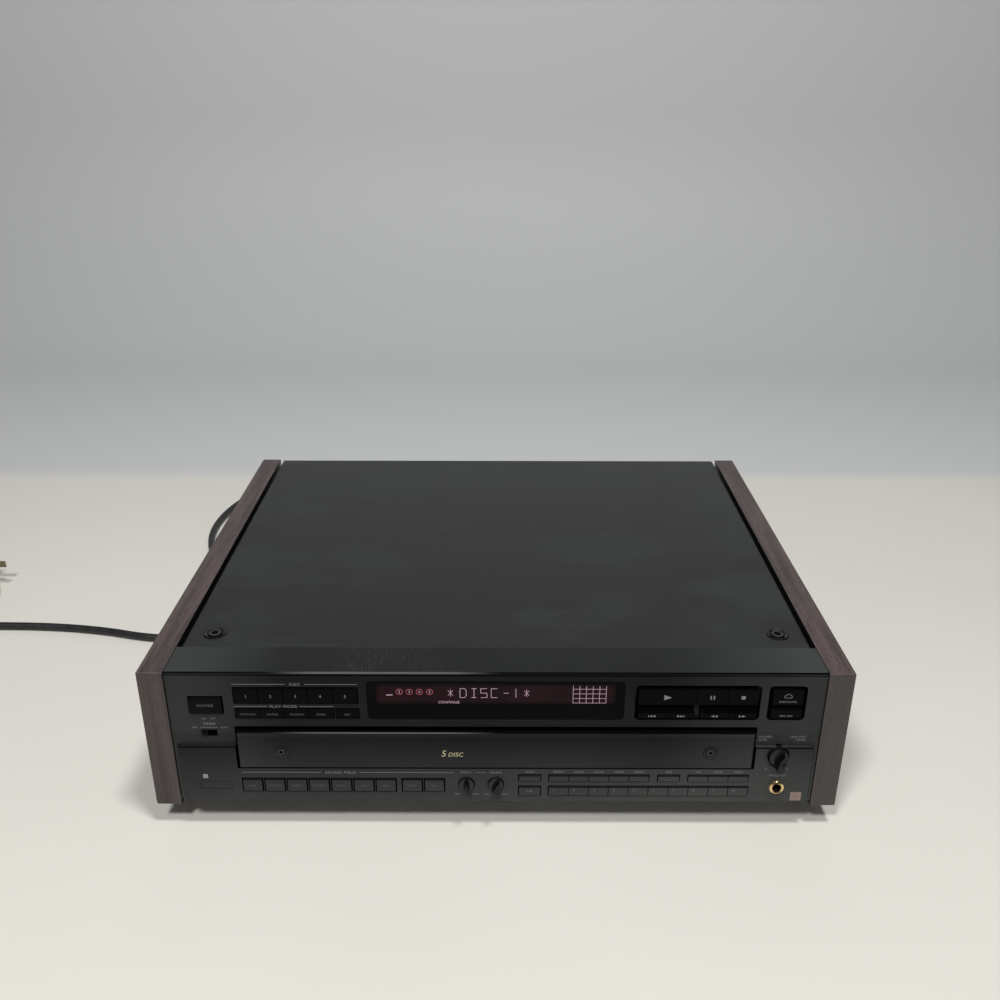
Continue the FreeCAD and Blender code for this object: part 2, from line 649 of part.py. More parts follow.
def pocket_keys():
    """Name, sides, foot, top and sunk height of the keys in the two pockets."""
    keys = {name: (x0, x1, POCKET_KEY_Z, POCKET_KEY_Z1, 0.0) for name, (x0, x1) in UPPER_TRANSPORT.items()}
    keys["open_close_key"] = (*DRAWER_KEY_X, POCKET_KEY_Z, POCKET_KEY_Z1, 0.0)
    for name, (x0, x1) in LOWER_TRANSPORT.items():
        keys[name] = (x0, x1, POCKET_LOW_Z, POCKET_KEY_Z - 0.4, SLOPE_H)
    keys["disc_skip_key"] = (*DRAWER_KEY_X, POCKET_LOW_Z, POCKET_KEY_Z - 0.4, SLOPE_H - 2.4)
    return keys


def front_board():
    """Circuit board behind the front, open where the drawer passes, with a switch behind every key."""
    edge = COVER_X - 7.0
    y0 = FRONT + BOARD_Y
    plate = box(-edge, edge, y0, y0 + BOARD_T, FOOT_H + 6.0, BEZEL_TOP - 4.0)
    passage = box(-RAIL_X - RAIL_T - 1, RAIL_X + RAIL_T + 1, y0 - 1, y0 + BOARD_T + 1, TRAY_FLOOR_Z - 5.5,
                  RAIL_Z1 + 4.5)
    jack_hole = box(JACK[0] - 8, JACK[0] + 8, y0 - 1, y0 + 3, JACK[1] - 8, JACK[1] + 8)
    plate = cut(plate, [passage, jack_hole])
    parts = [plate]
    middles = []
    for row in key_rows():
        middles += [((x0 + x1) / 2, (row.z0 + row.z1) / 2) for x0, x1 in row.spans()]
    middles += [((x0 + x1) / 2, (z0 + z1) / 2) for x0, x1, z0, z1, _ in pocket_keys().values()]
    for x, z in middles:
        parts.append(box(x - 2.6, x + 2.6, y0 - SWITCH_H, y0 + 0.01, z - 2.0, z + 2.0))
    x0, x1, z0, z1 = POWER
    parts.append(box((x0 + x1) / 2 - 5, (x0 + x1) / 2 + 5, y0 - SWITCH_H, y0 + 0.01, (z0 + z1) / 2 - 4, (z0 + z1) / 2 + 4))
    x0, x1, z0, z1 = TIMER_SLOT
    parts.append(box(x0 - 1, x1 + 1, BEZEL_BACK + 3.0, y0 + 0.01, z0 - 1, z1 + 1))
    for x, z, radius, _, _ in [LEVEL_KNOB] + list(SMALL_KNOBS.values()):
        pot = rod(radius, (x, BEZEL_BACK + 3.5, z), Y_AXIS, y0 - BEZEL_BACK - 3.49)
        bore = rod(KNOB_SHAFT_R + SHAFT_FIT, (x, BEZEL_BACK, z), Y_AXIS, y0 - BEZEL_BACK - 1.5)
        parts.append(cut(pot, [bore]))
    return [join(parts)]


def cup_bolt(centre, axis, washer_r, washer_h, reach):
    """A socket-head bolt in a cup washer, its head at the centre and its shank along the axis, as deep as reach."""
    head_r = washer_r * 0.55
    socket = washer_r * 0.30
    cup_r = washer_r - WASHER_SEAT - 0.05
    washer = [(head_r + 0.15, washer_h * 0.5), (washer_r - 0.9, -washer_h * 0.55), (washer_r, -washer_h * 0.2),
              (washer_r, 0), (cup_r, 0), (cup_r - 0.4, washer_h * 1.25), (head_r + 0.15, washer_h * 1.25)]
    head = [(socket, -washer_h * 0.5), (head_r - 0.5, -washer_h * 0.5), (head_r, -washer_h * 0.3),
            (head_r, washer_h * 1.25), (SHANK_R, washer_h * 1.25), (SHANK_R, reach), (0, reach),
            (0, washer_h * 0.5), (socket, washer_h * 0.5)]
    solids = []
    for section in (washer, head):
        solid = outline([Vector(r, 0, h) for r, h in section]).revolve(Vector(0, 0, 0), Z_AXIS, 360)
        if axis == "down":
            solid.rotate(Vector(0, 0, 0), X_AXIS, 180)
        else:
            solid.rotate(Vector(0, 0, 0), X_AXIS, -90)
        solid.translate(Vector(*centre))
        solids.append(solid)
    return solids


def case_bolts():
    """Two socket bolts on the cover, and screws that hold the cover's back edge."""
    solids = []
    for side in (-1, 1):
        solids += cup_bolt((side * TOP_BOLT_X, FRONT + TOP_BOLT_Y, COVER_TOP), "down", WASHER_R, 1.2, TOP_BOLT_REACH)
    screw = [(0, 0), (2.6, 0), (2.6, 0.9), (1.6, 2.0), (0, 2.0)]
    for x, z in rear_screws():
        solids.append(turned(screw, (x, REAR, z), Y_AXIS))
    return solids


def rear_screws():
    """Places of the screws on the back sheet."""
    high = COVER_TOP - SHEET - 6.0
    return [(-195.0, high), (-65.0, high), (65.0, high), (195.0, high), (-195.0, FLOOR_Z + 6), (195.0, FLOOR_Z + 6)]


def headphone_jack():
    """Jack with a gold ring in front and a body behind the fascia."""
    x, z = JACK
    depth = BEZEL_BACK - FASCIA_FACE + 9.0
    section = [(JACK_R, -1.6), (JACK_R + 0.7, -2.0), (JACK_RING_R - 0.5, -1.5), (JACK_RING_R, -0.5),
               (JACK_RING_R, 0), (JACK_RING_R - 0.75, 0), (JACK_RING_R - 0.75, FASCIA_T + 0.1),
               (7.0, FASCIA_T + 0.1), (7.0, depth), (JACK_R, depth)]
    return [turned(section, (x, FASCIA_FACE, z), Y_AXIS)]


def pointer_knob(x, z, radius, height, angle):
    """A round base with a blade that is pointed at both ends, on a shaft into its potentiometer."""
    base = rod(radius, (0, -1.5, 0), Y_AXIS, 6.5)
    base = base.makeChamfer(0.5, edges_where(base, lambda point: abs(point.y + 1.5) < 0.01))
    low = blade_wire(radius + 0.9, radius * 0.42, -1.0)
    high = blade_wire(radius - 0.2, radius * 0.16, -height)
    blade = Part.makeLoft([low, high], True)
    shaft = rod(KNOB_SHAFT_R, (0, 4.0, 0), Y_AXIS, BEZEL_BACK + 8.0 - FASCIA_FACE - 4.0)
    knob = join([base, blade, shaft])
    knob.rotate(Vector(0, 0, 0), Y_AXIS, angle)
    knob.translate(Vector(x, FASCIA_FACE, z))
    return knob


def blade_wire(reach, half, y):
    """A pointed oval in a plane across Y: two arcs that meet at its ends."""
    top = Vector(0, y, reach)
    foot = Vector(0, y, -reach)
    right = Part.Arc(top, Vector(half, y, 0), foot).toShape()
    left = Part.Arc(foot, Vector(-half, y, 0), top).toShape()
    return Part.Wire([right, left])


def power_button():
    """Rectangular push button with a bevel along its top."""
    x0, x1, z0, z1 = POWER
    gap = WIDE_GAP
    return [key_cap(x0 + gap, x1 - gap, z0 + gap, z1 - gap, BEZEL_FACE - 1.4, POWER_TRAVEL)]


def timer_slider():
    """Small ribbed knob of the slide switch, at its left position."""
    x0, _, z0, z1 = TIMER_SLOT
    left = x0 + 0.3
    body = box(left, left + TIMER_KNOB_W, BEZEL_FACE - 0.8, BEZEL_BACK + 2.8, z0 + 0.3, z1 - 0.3)
    ribs = [box(left + step, left + step + 0.5, BEZEL_FACE - 1, BEZEL_FACE - 0.4, z0, z1) for step in (0.9, 1.95, 3.0)]
    return [cut(body, ribs)]


# Drawer

def tray_plan(inset, z0, z1):
    """The tray's plan: straight at the front, round behind the table's centre, with a lobe at the pinion."""
    half = TRAY_HALF - inset
    front = FRONT + BEZEL_SET_BACK + inset
    straight = box(-half, half, front, TABLE_Y, z0, z1)
    back = rod(half, (0, TABLE_Y, z0), Z_AXIS, z1 - z0)
    lobe = rod(MOTOR_PLATE_R + SEAM + TRAY_WALL - inset, (PINION_X, PINION_Y, z0), Z_AXIS, z1 - z0)
    return join([straight, back, lobe])


def drawer_tray():
    """Moulded tray: floor, walls, table boss, runners, rack and the slot that the pickup unit comes through."""
    shell = tray_plan(0, TRAY_FLOOR_Z, TRAY_TOP_Z)
    inside = tray_plan(TRAY_WALL, TRAY_FLOOR_Z + TRAY_FLOOR_T, TRAY_TOP_Z + 1)
    low_rear = box(-TRAY_HALF - 1, TRAY_HALF + 1, TABLE_Y + 60.0, REAR, TRAY_REAR_Z, TRAY_TOP_Z + 1)
    slot_half = PICKUP_HALF + 7.0
    slot = slab_z(-slot_half, slot_half, TURN_Y - 34.0, REAR + 40, TRAY_FLOOR_Z - 1, TRAY_FLOOR_Z + 8.0, 9.0)
    tray = cut(shell, [inside, low_rear, slot])
    boss = rod(11.0, (0, TABLE_Y, TRAY_FLOOR_Z), Z_AXIS, TABLE_Z0 - SEAM - TRAY_FLOOR_Z)
    pin = rod(5.0, (0, TABLE_Y, TRAY_FLOOR_Z), Z_AXIS, TABLE_TOP_Z - TRAY_FLOOR_Z + 0.6)
    pinion_pin = rod(SHAFT_R, (PINION_X, PINION_Y, TRAY_FLOOR_Z), Z_AXIS, RING_Z0 - 1.0 - TRAY_FLOOR_Z)
    runners = []
    y0 = FRONT + 24.0
    for side in (-1, 1):
        low, high = sorted((side * 148.0, side * 156.0))
        runners.append(box(low, high, y0, TABLE_Y + 80.0, RUNNER_Z0, TRAY_FLOOR_Z + 1))
    bolt_seats = []
    bolt_bores = []
    wall_y = FRONT + BEZEL_SET_BACK
    for side in (-1, 1):
        start = (side * DRAWER_BOLT_X, wall_y, DRAWER_BOLT_Z)
        bolt_seats.append(rod(4.5, start, Y_AXIS, 7.5))
        bolt_bores.append(rod(SHANK_R + SHAFT_FIT, (start[0], wall_y - 1, start[2]), Y_AXIS, 9.5))
    whole = join([tray, boss, pin, pinion_pin, rack()] + runners + bolt_seats)
    return [cut(whole, bolt_bores)]


def rack():
    """Toothed strip under the tray, long enough to stay in mesh over the whole travel."""
    pitch = math.pi * RACK_MODULE
    teeth = math.ceil((DRAWER_TRAVEL + 6 * pitch) / pitch)
    edge = rack_points(LOADING_GEAR_Y - 2 * pitch, teeth)
    x_back = RACK_X - 1.05 * RACK_MODULE - RACK_WEB
    points = [(x_back, edge[0][1])] + edge + [(x_back, edge[-1][1])]
    face = outline([Vector(x, y, RUNNER_Z0) for x, y in points])
    return face.extrude(Vector(0, 0, TRAY_FLOOR_Z + 0.5 - RUNNER_Z0))


def drawer_front():
    """Front of the drawer: a plate with eased edges, returns behind it and two bolt seats."""
    back = FRONT + BEZEL_SET_BACK
    plate = box(-DRAWER_HALF, DRAWER_HALF, FASCIA_FACE, back, DRAWER_Z0, DRAWER_Z1)

    def front_edge(point):
        top = abs(point.z - DRAWER_Z1) < 0.01
        foot = abs(point.z - DRAWER_Z0) < 0.01
        end = abs(abs(point.x) - DRAWER_HALF) < 0.01
        return abs(point.y - FASCIA_FACE) < 0.01 and (top or foot or end)
    plate = plate.makeChamfer(0.6, edges_where(plate, front_edge))
    seats = []
    for side in (-1, 1):
        seats.append(rod(DRAWER_WASHER_R - WASHER_SEAT, (side * DRAWER_BOLT_X, FASCIA_FACE - 1, DRAWER_BOLT_Z), Y_AXIS, 8))
    return [cut(plate, seats)]


def drawer_bolts():
    """Two socket bolts in cup washers that hold the drawer's front."""
    solids = []
    for side in (-1, 1):
        centre = (side * DRAWER_BOLT_X, FASCIA_FACE, DRAWER_BOLT_Z)
        solids += cup_bolt(centre, "back", DRAWER_WASHER_R, 0.7, DRAWER_BOLT_REACH)
    return solids


def table_spindle():
    """Cap that keeps the table on its pin."""
    z = TABLE_TOP_Z + 0.6
    return [turned([(0, z), (12.5, z), (12.5, z + 0.8), (10.5, z + 2.2), (3.2, z + 2.2), (2.2, z + 1.2), (0, z + 1.2)],
                   (0, TABLE_Y, 0))]


def table_motor():
    """Small motor above the pinion, on its bracket at the tray's lobe."""
    z0 = TABLE_Z0 + 1.5
    plate = rod(MOTOR_PLATE_R, (PINION_X, PINION_Y, z0), Z_AXIS, 1.5)
    clear = rod(TABLE_R + 1.0, (0, TABLE_Y, z0 - 1), Z_AXIS, 12)
    can = rod(8.4, (PINION_X, PINION_Y, z0 + 1.5), Z_AXIS, 5.5)
    shaft = rod(SHAFT_R - 0.5, (PINION_X, PINION_Y, z0 - 4.0), Z_AXIS, 5.0)
    return [join([cut(plate, [clear]), can, shaft])]


def table_pinion():
    """Pinion between the tray's pin and the motor's shaft, in mesh with the table's ring gear."""
    centre = (PINION_X, PINION_Y, RING_Z0)
    towards = math.atan2(TABLE_Y - PINION_Y, -PINION_X)
    body = gear(PINION_TEETH, GEAR_MODULE, RING_GEAR_H, centre, towards + math.pi / PINION_TEETH, 3)
    bore = rod(SHAFT_R - 0.5 + SHAFT_FIT, (PINION_X, PINION_Y, RING_Z0 - 1), Z_AXIS, RING_GEAR_H + 2)
    return [cut(body, [bore])]


def well_centres():
    """Disc centres, the first one at the playing position at the back."""
    step = 2 * math.pi / DISCS
    return [polar((0, TABLE_Y, 0), WELL_RING_R, math.pi / 2 + step * number) for number in range(DISCS)]


def carousel_table():
    """Table with five stepped wells, a slot in each for the pickup, hollow islands and a ring gear below."""
    disc = rod(TABLE_R, (0, TABLE_Y, TABLE_Z0), Z_AXIS, TABLE_T)
    hollow = rod(TABLE_R - PAN_T, (0, TABLE_Y, TABLE_Z0 - 1), Z_AXIS, TABLE_T - PAN_T + 1)
    keep = [rod(14.0, (0, TABLE_Y, TABLE_Z0 - 1), Z_AXIS, TABLE_T + 1)]
    wells = []
    for centre in well_centres():
        floor_z = TABLE_TOP_Z - WELL_DEPTH
        wells.append(rod(WELL_R, (centre.x, centre.y, floor_z), Z_AXIS, WELL_DEPTH + 1))
        wells.append(rod(SMALL_WELL_R, (centre.x, centre.y, floor_z - SMALL_WELL_DEPTH), Z_AXIS, WELL_DEPTH + 1))
        keep.append(rod(WELL_R + PAN_T, (centre.x, centre.y, TABLE_Z0 - 1), Z_AXIS, TABLE_T + 1))
        wells.append(well_slot(centre))
    hollow = cut(hollow, keep)
    bore = rod(5.0 + SHAFT_FIT, (0, TABLE_Y, TABLE_Z0 - 1), Z_AXIS, TABLE_T + 2)
    table = cut(disc, [hollow, bore] + wells)
    # A tooth of the ring faces the pinion, which has a gap there.
    towards = math.atan2(PINION_Y - TABLE_Y, PINION_X)
    ring = gear(RING_TEETH, GEAR_MODULE, RING_GEAR_H, (0, TABLE_Y, RING_Z0), towards, 2)
    ring = cut(ring, [rod(RING_R - 5.5, (0, TABLE_Y, RING_Z0 - 1), Z_AXIS, RING_GEAR_H + 2)])
    return [join([table, ring])]


def well_slot(centre):
    """Round hole for the disc turntable with a slot outwards for the lens."""
    hub = rod(TURNTABLE_R + 4.0, (centre.x, centre.y, TABLE_Z0 - 1), Z_AXIS, TABLE_T + 2)
    half = 15.0
    length = DISC_R - 1.5
    track = box(0, length, -half, half, TABLE_Z0 - 1, TABLE_TOP_Z + 1)
    angle = math.atan2(centre.y - TABLE_Y, centre.x)
    track.rotate(Vector(0, 0, 0), Z_AXIS, math.degrees(angle))
    track.translate(Vector(centre.x, centre.y, 0))
    return hub.fuse(track)


# Mechanism on the chassis

def mechanism_frame():
    """Drawer guides on both sides with windows and hooks, beams below the tray and ears for the pickup's hinge."""
    y0 = FRONT + 22.0
    y1 = HINGE_Y + 12.0
    parts = []
    for side in (-1, 1):
        low, high = sorted((side * RAIL_X, side * (RAIL_X + RAIL_T)))
        wall = box(low, high, y0, y1, FLOOR_Z, RAIL_Z1)
        windows = []
        span = (y1 - y0) / 3
        for number in range(3):
            left = y0 + span * number + 14.0
            windows.append(box(low - 1, high + 1, left, left + span - 28.0, FLOOR_Z + 5.0, BEAM_Z0 - 5.0))
        parts.append(cut(wall, windows))
        low, high = sorted((side * (RAIL_X + RAIL_T), side * (RAIL_X - 4.5)))
        for y in (y0 + 6.0, TABLE_Y - 9.0, TURN_Y + 30.0):
            parts.append(box(low, high, y, y + 18.0, TRAY_TOP_Z + 0.4, RAIL_Z1))
    for y in (FRONT + 24.0, FRONT + 130.0, FRONT + 224.0):
        parts.append(box(-RAIL_X, RAIL_X, y, y + 12.0, BEAM_Z0, BEAM_Z1))
    deck_y1 = LOADING_GEAR_Y + 26.0
    parts.append(box(MOTOR_X - 18.0, LOADING_X + 28.0, FRONT + 24.0, deck_y1, BEAM_Z0, BEAM_Z1))
    parts.append(box(-RAIL_X, RAIL_X, y1 - 4.0, y1, FLOOR_Z, BEAM_Z0))
    for side in (-1, 1):
        low, high = sorted((side * (PICKUP_HALF + 1.0), side * (PICKUP_HALF + 6.0)))
        parts.append(box(low, high, HINGE_Y - 7.0, y1 - 3.0, FLOOR_Z, HINGE_Z + 5.0))
    frame = join(parts)
    holes = [rod(SHAFT_R + SHAFT_FIT, (LOADING_X, LOADING_GEAR_Y, BEAM_Z0 - 1), Z_AXIS, 8),
             rod(SHAFT_R, (MOTOR_X, LOADING_GEAR_Y, BEAM_Z0 - 1), Z_AXIS, 8),
             rod(2.5 + SHAFT_FIT, (-PICKUP_HALF - 8, HINGE_Y, HINGE_Z), X_AXIS, 2 * PICKUP_HALF + 16)]
    return [cut(frame, holes)]


def loading_gear():
    """Gear in mesh with the tray's rack, its shaft and the grooved belt pulley under the beam."""
    gear_z = RUNNER_Z0 + 0.1
    height = TRAY_FLOOR_Z - SEAM - gear_z
    centre = (LOADING_X, LOADING_GEAR_Y, gear_z)
    teeth = gear(LOADING_TEETH, RACK_MODULE, height, centre, math.pi + math.pi / LOADING_TEETH, 3)
    shaft = rod(SHAFT_R, (LOADING_X, LOADING_GEAR_Y, PULLEY_Z0 - 3.0), Z_AXIS, gear_z + 1 - PULLEY_Z0 + 3.0)
    return [join([teeth, shaft, pulley(PULLEY_R, (LOADING_X, LOADING_GEAR_Y, PULLEY_Z0))])]


def pulley(radius, centre):
    """Pulley with a groove for the belt round its middle. The radius is the groove's floor."""
    rim = radius + BELT_T + 0.6
    groove0 = (PULLEY_H - BELT_H) / 2 - 0.35
    section = [(0, 0), (rim, 0), (rim, groove0 - 0.2), (radius, groove0), (radius, PULLEY_H - groove0),
               (rim, PULLEY_H - groove0 + 0.2), (rim, PULLEY_H), (0, PULLEY_H)]
    return turned(section, centre)


def motor_pulley():
    """Small pulley on the loading motor's shaft."""
    centre = (MOTOR_X, LOADING_GEAR_Y, PULLEY_Z0)
    bore = rod(1.0 + SHAFT_FIT, (MOTOR_X, LOADING_GEAR_Y, PULLEY_Z0 - 1), Z_AXIS, PULLEY_H + 2)
    return [cut(pulley(MOTOR_PULLEY_R, centre), [bore])]


def belt_face(grow):
    """Outline of the belt round both pulleys, grown by a distance."""
    large = PULLEY_R + grow
    small = MOTOR_PULLEY_R + grow
    distance = LOADING_X - MOTOR_X
    lean = math.acos((large - small) / distance)
    a0 = Vector(LOADING_X - large * math.cos(lean), LOADING_GEAR_Y + large * math.sin(lean), 0)
    a1 = Vector(LOADING_X - large * math.cos(lean), LOADING_GEAR_Y - large * math.sin(lean), 0)
    b0 = Vector(MOTOR_X - small * math.cos(lean), LOADING_GEAR_Y + small * math.sin(lean), 0)
    b1 = Vector(MOTOR_X - small * math.cos(lean), LOADING_GEAR_Y - small * math.sin(lean), 0)
    edges = [Part.Arc(a0, Vector(LOADING_X + large, LOADING_GEAR_Y, 0), a1).toShape(),
             Part.LineSegment(a1, b1).toShape(),
             Part.Arc(b1, Vector(MOTOR_X - small, LOADING_GEAR_Y, 0), b0).toShape(),
             Part.LineSegment(b0, a0).toShape()]
    return Part.Face(Part.Wire(edges))


def loading_belt():
    """Square-section rubber belt from the motor to the loading gear."""
    ring = belt_face(0.3 + BELT_T).cut(belt_face(0.3))
    ring.translate(Vector(0, 0, PULLEY_Z0 + (PULLEY_H - BELT_H) / 2))
    return [ring.extrude(Vector(0, 0, BELT_H))]


def loading_motor():
    """Motor with its flange on two posts under the beam, and its shaft in the small pulley."""
    top = PULLEY_Z0 - 1.0
    can_r = 11.5
    can = rod(can_r, (MOTOR_X, LOADING_GEAR_Y, FLOOR_Z + 3.0), Z_AXIS, top - 1.2 - FLOOR_Z - 3.0)
    flange = slab_z(MOTOR_X - 15, MOTOR_X + 15, LOADING_GEAR_Y - 15, LOADING_GEAR_Y + 15, top - 1.2, top, 3.0)
    shaft = rod(1.0, (MOTOR_X, LOADING_GEAR_Y, top - 2.0), Z_AXIS, PULLEY_H + 2.5)
    posts = [rod(2.2, (MOTOR_X + dx, LOADING_GEAR_Y + dy, top - 0.5), Z_AXIS, BEAM_Z0 - top + 0.5)
             for dx, dy in ((-11, -11), (-11, 11))]
    return [join([can, flange, shaft] + posts)]


# Pickup unit

def pickup_base():
    """Open frame on a rear hinge: sled bay, turntable motor and trunnions."""
    y0 = TURN_Y - TURNTABLE_R - 6.0
    y1 = HINGE_Y + 4.0
    plate = slab_z(-PICKUP_HALF, PICKUP_HALF, y0, y1, PICKUP_Z0, PICKUP_Z1, 5.0)
    bay = box(-ROD_X - 5.0, ROD_X + 5.0, TURN_Y + TURNTABLE_R + 0.6, HINGE_Y - 8.0, PICKUP_Z0 - 1, PICKUP_Z1 + 1)
    tools = [bay]
    for side in (-1, 1):
        low, high = sorted((side * (ROD_X + 9.0), side * (PICKUP_HALF - 4.0)))
        for y in (TURN_Y - 10.0, TURN_Y + 22.0, TURN_Y + 52.0):
            tools.append(box(low, high, y, y + 22.0, PICKUP_Z0 + 2.0, PICKUP_Z1 + 1))
        seat_y = TURN_Y + TURNTABLE_R - 2.0
        tools.append(rod(ROD_R, (side * ROD_X, seat_y, HINGE_Z), Y_AXIS, HINGE_Y - 4.0 - seat_y))
    motor_hole = rod(2.0, (0, TURN_Y, PICKUP_Z0 - 1), Z_AXIS, 9)
    trunnion = rod(2.5, (-PICKUP_HALF - 5.5, HINGE_Y, HINGE_Z), X_AXIS, 2 * PICKUP_HALF + 11)
    middle = rod(3.5, (-PICKUP_HALF + 4.0, HINGE_Y, HINGE_Z), X_AXIS, 2 * PICKUP_HALF - 8.0)
    frame = join([cut(plate, tools + [motor_hole, middle]), trunnion])
    motor = turned([(0, PICKUP_Z0 - 10.0), (12.0, PICKUP_Z0 - 10.0), (13.0, PICKUP_Z0 - 9.0), (13.0, PICKUP_Z0),
                    (0, PICKUP_Z0)], (0, TURN_Y, 0))
    shaft = rod(1.0, (0, TURN_Y, PICKUP_Z0 - 1.0), Z_AXIS, TURNTABLE_TOP - PICKUP_Z0 - 0.5)
    return [frame, join([motor, shaft])]


def sled_rods():
    """Two polished guide rods of the laser sled, seated in the frame's ends."""
    y0 = TURN_Y + TURNTABLE_R - 2.0
    length = HINGE_Y - 4.0 - y0
    return [rod(ROD_R, (side * ROD_X, y0, HINGE_Z), Y_AXIS, length) for side in (-1, 1)]


def laser_pickup():
    """Sled with bushes on both rods and the lens in its round holder."""
    lens_y = TURN_Y + SLED_IN
    body = slab_z(-13.0, 13.0, lens_y - 7.5, lens_y + 9.0, PICKUP_Z0 + 0.5, PICKUP_Z1 + 1.0, 2.0)
    arms = box(-ROD_X - 3.5, ROD_X + 3.5, lens_y - 4.0, lens_y + 6.0, HINGE_Z - 3.5, HINGE_Z + 3.5)
    holder = turned([(2.6, PICKUP_Z1), (6.5, PICKUP_Z1), (6.5, PICKUP_Z1 + 3.0), (5.7, PICKUP_Z1 + 3.6),
                     (2.6, PICKUP_Z1 + 3.6)], (0, lens_y, 0))
    lens = turned([(0, PICKUP_Z1 - 0.5), (2.6, PICKUP_Z1 - 0.5), (2.6, PICKUP_Z1 + 3.4), (1.4, PICKUP_Z1 + 4.0),
                   (0, PICKUP_Z1 + 4.2)], (0, lens_y, 0))
    bores = [rod(ROD_R + SHAFT_FIT, (side * ROD_X, lens_y - 10, HINGE_Z), Y_AXIS, 25) for side in (-1, 1)]
    return [cut(join([body, arms, holder, lens]), bores)]


def disc_turntable():
    """Turntable that carries the disc, with a centring cone."""
    top = TURNTABLE_TOP
    section = [(1.0 + SHAFT_FIT, PICKUP_Z1 + 1.0), (5.0, PICKUP_Z1 + 1.0), (5.0, top - 4.0),
               (TURNTABLE_R - 1.0, top - 4.0), (TURNTABLE_R, top - 3.4), (TURNTABLE_R, top - 2.2), (8.2, top - 2.2),
               (7.4, top - 1.2), (5.0, top), (1.0 + SHAFT_FIT, top)]
    return [turned(section, (0, TURN_Y, 0))]


def clamper_bridge():
    """Sheet bridge over the table with raised edges and a round hole for the puck."""
    half = RAIL_X + RAIL_T
    width = 26.0
    plate = box(-half, half, TURN_Y - width, TURN_Y + width, RAIL_Z1, RAIL_Z1 + 1.5)
    lips = [box(-half + 12.0, half - 12.0, y, y + 1.5, RAIL_Z1, RAIL_Z1 + 7.0)
            for y in (TURN_Y - width, TURN_Y + width - 1.5)]
    hole = rod(14.0, (0, TURN_Y, RAIL_Z1 - 1), Z_AXIS, 4)
    windows = [slab_z(side * 60.0 - 22.0, side * 60.0 + 22.0, TURN_Y - 14.0, TURN_Y + 14.0, RAIL_Z1 - 1,
                      RAIL_Z1 + 3, 6.0) for side in (-1.7, -1, 1, 1.7)]
    screws = [rod(3.0, (side * (half - 4.0), TURN_Y + dy, RAIL_Z1 + 1.5), Z_AXIS, 1.4)
              for side in (-1, 1) for dy in (-18.0, 18.0)]
    return [join([cut(join([plate] + lips), [hole] + windows)] + screws)]


def clamper_puck():
    """Puck that holds the disc from above, hanging by its flange in the bridge's hole."""
    low = RAIL_Z1 - 4.0
    section = [(0, low + 1.5), (8.0, low + 1.5), (8.0, low), (15.5, low), (16.0, low + 0.6), (16.0, low + 2.4),
               (12.0, low + 3.0), (12.0, RAIL_Z1 + 1.9), (17.0, RAIL_Z1 + 1.9), (17.0, RAIL_Z1 + 3.2),
               (12.0, RAIL_Z1 + 4.6), (0, RAIL_Z1 + 4.6)]
    return [turned(section, (0, TURN_Y, 0))]


# Electrics on the chassis

def transformer():
    """Laminated core with its winding, in the left side bay next to the cord."""
    x1 = -RAIL_X - RAIL_T - 2.0
    x0 = -COVER_X + SHEET + SEAM + SHEET + 1.0
    y0 = FRONT + 292.0
    core = box(x0 + 4.0, x1 - 4.0, y0, y0 + 54.0, FLOOR_Z + 2.0, FLOOR_Z + 46.0)
    winding = box(x0, x1, y0 + 11.0, y0 + 43.0, FLOOR_Z + 10.0, FLOOR_Z + 38.0)
    foot = box(x0 + 2.0, x1 - 2.0, y0 - 9.0, y0 + 63.0, FLOOR_Z, FLOOR_Z + 2.0)
    return [join([core, winding, foot])]


def main_board():
    """Main board under the tray on standoffs, with chips, capacitors and a heat sink."""
    z0 = FLOOR_Z + 5.0
    x1 = RAIL_X - 5.0
    y0 = LOADING_GEAR_Y + 42.0
    y1 = TURN_Y - 42.0
    top = z0 + 1.6
    parts = [box(-x1, x1, y0, y1, z0, top)]
    for x in (-x1 + 8, 0, x1 - 8):
        for y in (y0 + 8, y1 - 8):
            parts.append(rod(3.0, (x, y, FLOOR_Z), Z_AXIS, 5.5))
    for number in range(4):
        x = -110.0 + 55.0 * number
        parts.append(box(x, x + 24.0, y0 + 30.0, y0 + 40.0, top - 0.1, top + 4.0))
    parts.append(box(-20.0, 4.0, y0 + 70.0, y0 + 94.0, top - 0.1, top + 2.6))
    for number in range(5):
        parts.append(rod(5.0, (-140.0 + 15.0 * number, y1 - 24.0, top - 0.1), Z_AXIS, 13.0))
    for number in range(5):
        parts.append(box(90.0 + 9.0 * number, 92.0 + 9.0 * number, y1 - 50.0, y1 - 16.0, top - 0.1, top + 14.0))
    parts.append(box(88.0, 130.0, y1 - 34.0, y1 - 31.0, top - 0.1, top + 14.0))
    return [join(parts)]


# Mains cord. The route is chosen by hand: x, y behind the wood's front, z.
CORD_R = 3.5
CORD_LENGTH = 1800.0
GLAND_LENGTH = 26.0
CORD_ROUTE = [
    (GLAND_X, 408.0, GLAND_Z), (-180.5, 436.0, 45.5), (-183.0, 470.0, 31.0), (-189.0, 507.0, 12.0),
    (-200.0, 545.0, 4.2), (-222.0, 583.0, 3.7), (-262.0, 601.0, 3.7), (-296.0, 584.0, 3.7),
    (-314.0, 546.0, 3.7), (-323.0, 500.0, 3.7), (-321.0, 455.0, 3.7), (-306.0, 410.0, 3.7),
    (-283.0, 370.0, 3.7), (-263.0, 330.0, 3.7), (-254.5, 297.0, 3.7), (-263.0, 263.0, 3.7),
    (-293.0, 240.0, 3.7), (-325.0, 242.7, 3.7), (-362.0, 253.5, 3.7), (-410.0, 261.0, 3.7),
    (-462.0, 263.0, 3.7), (-512.0, 262.0, 3.7),
]
COIL_CENTRE = (-545.0, 307.5)        # x, y behind the wood's front
COIL_R = 42.0                        # middle of the turns
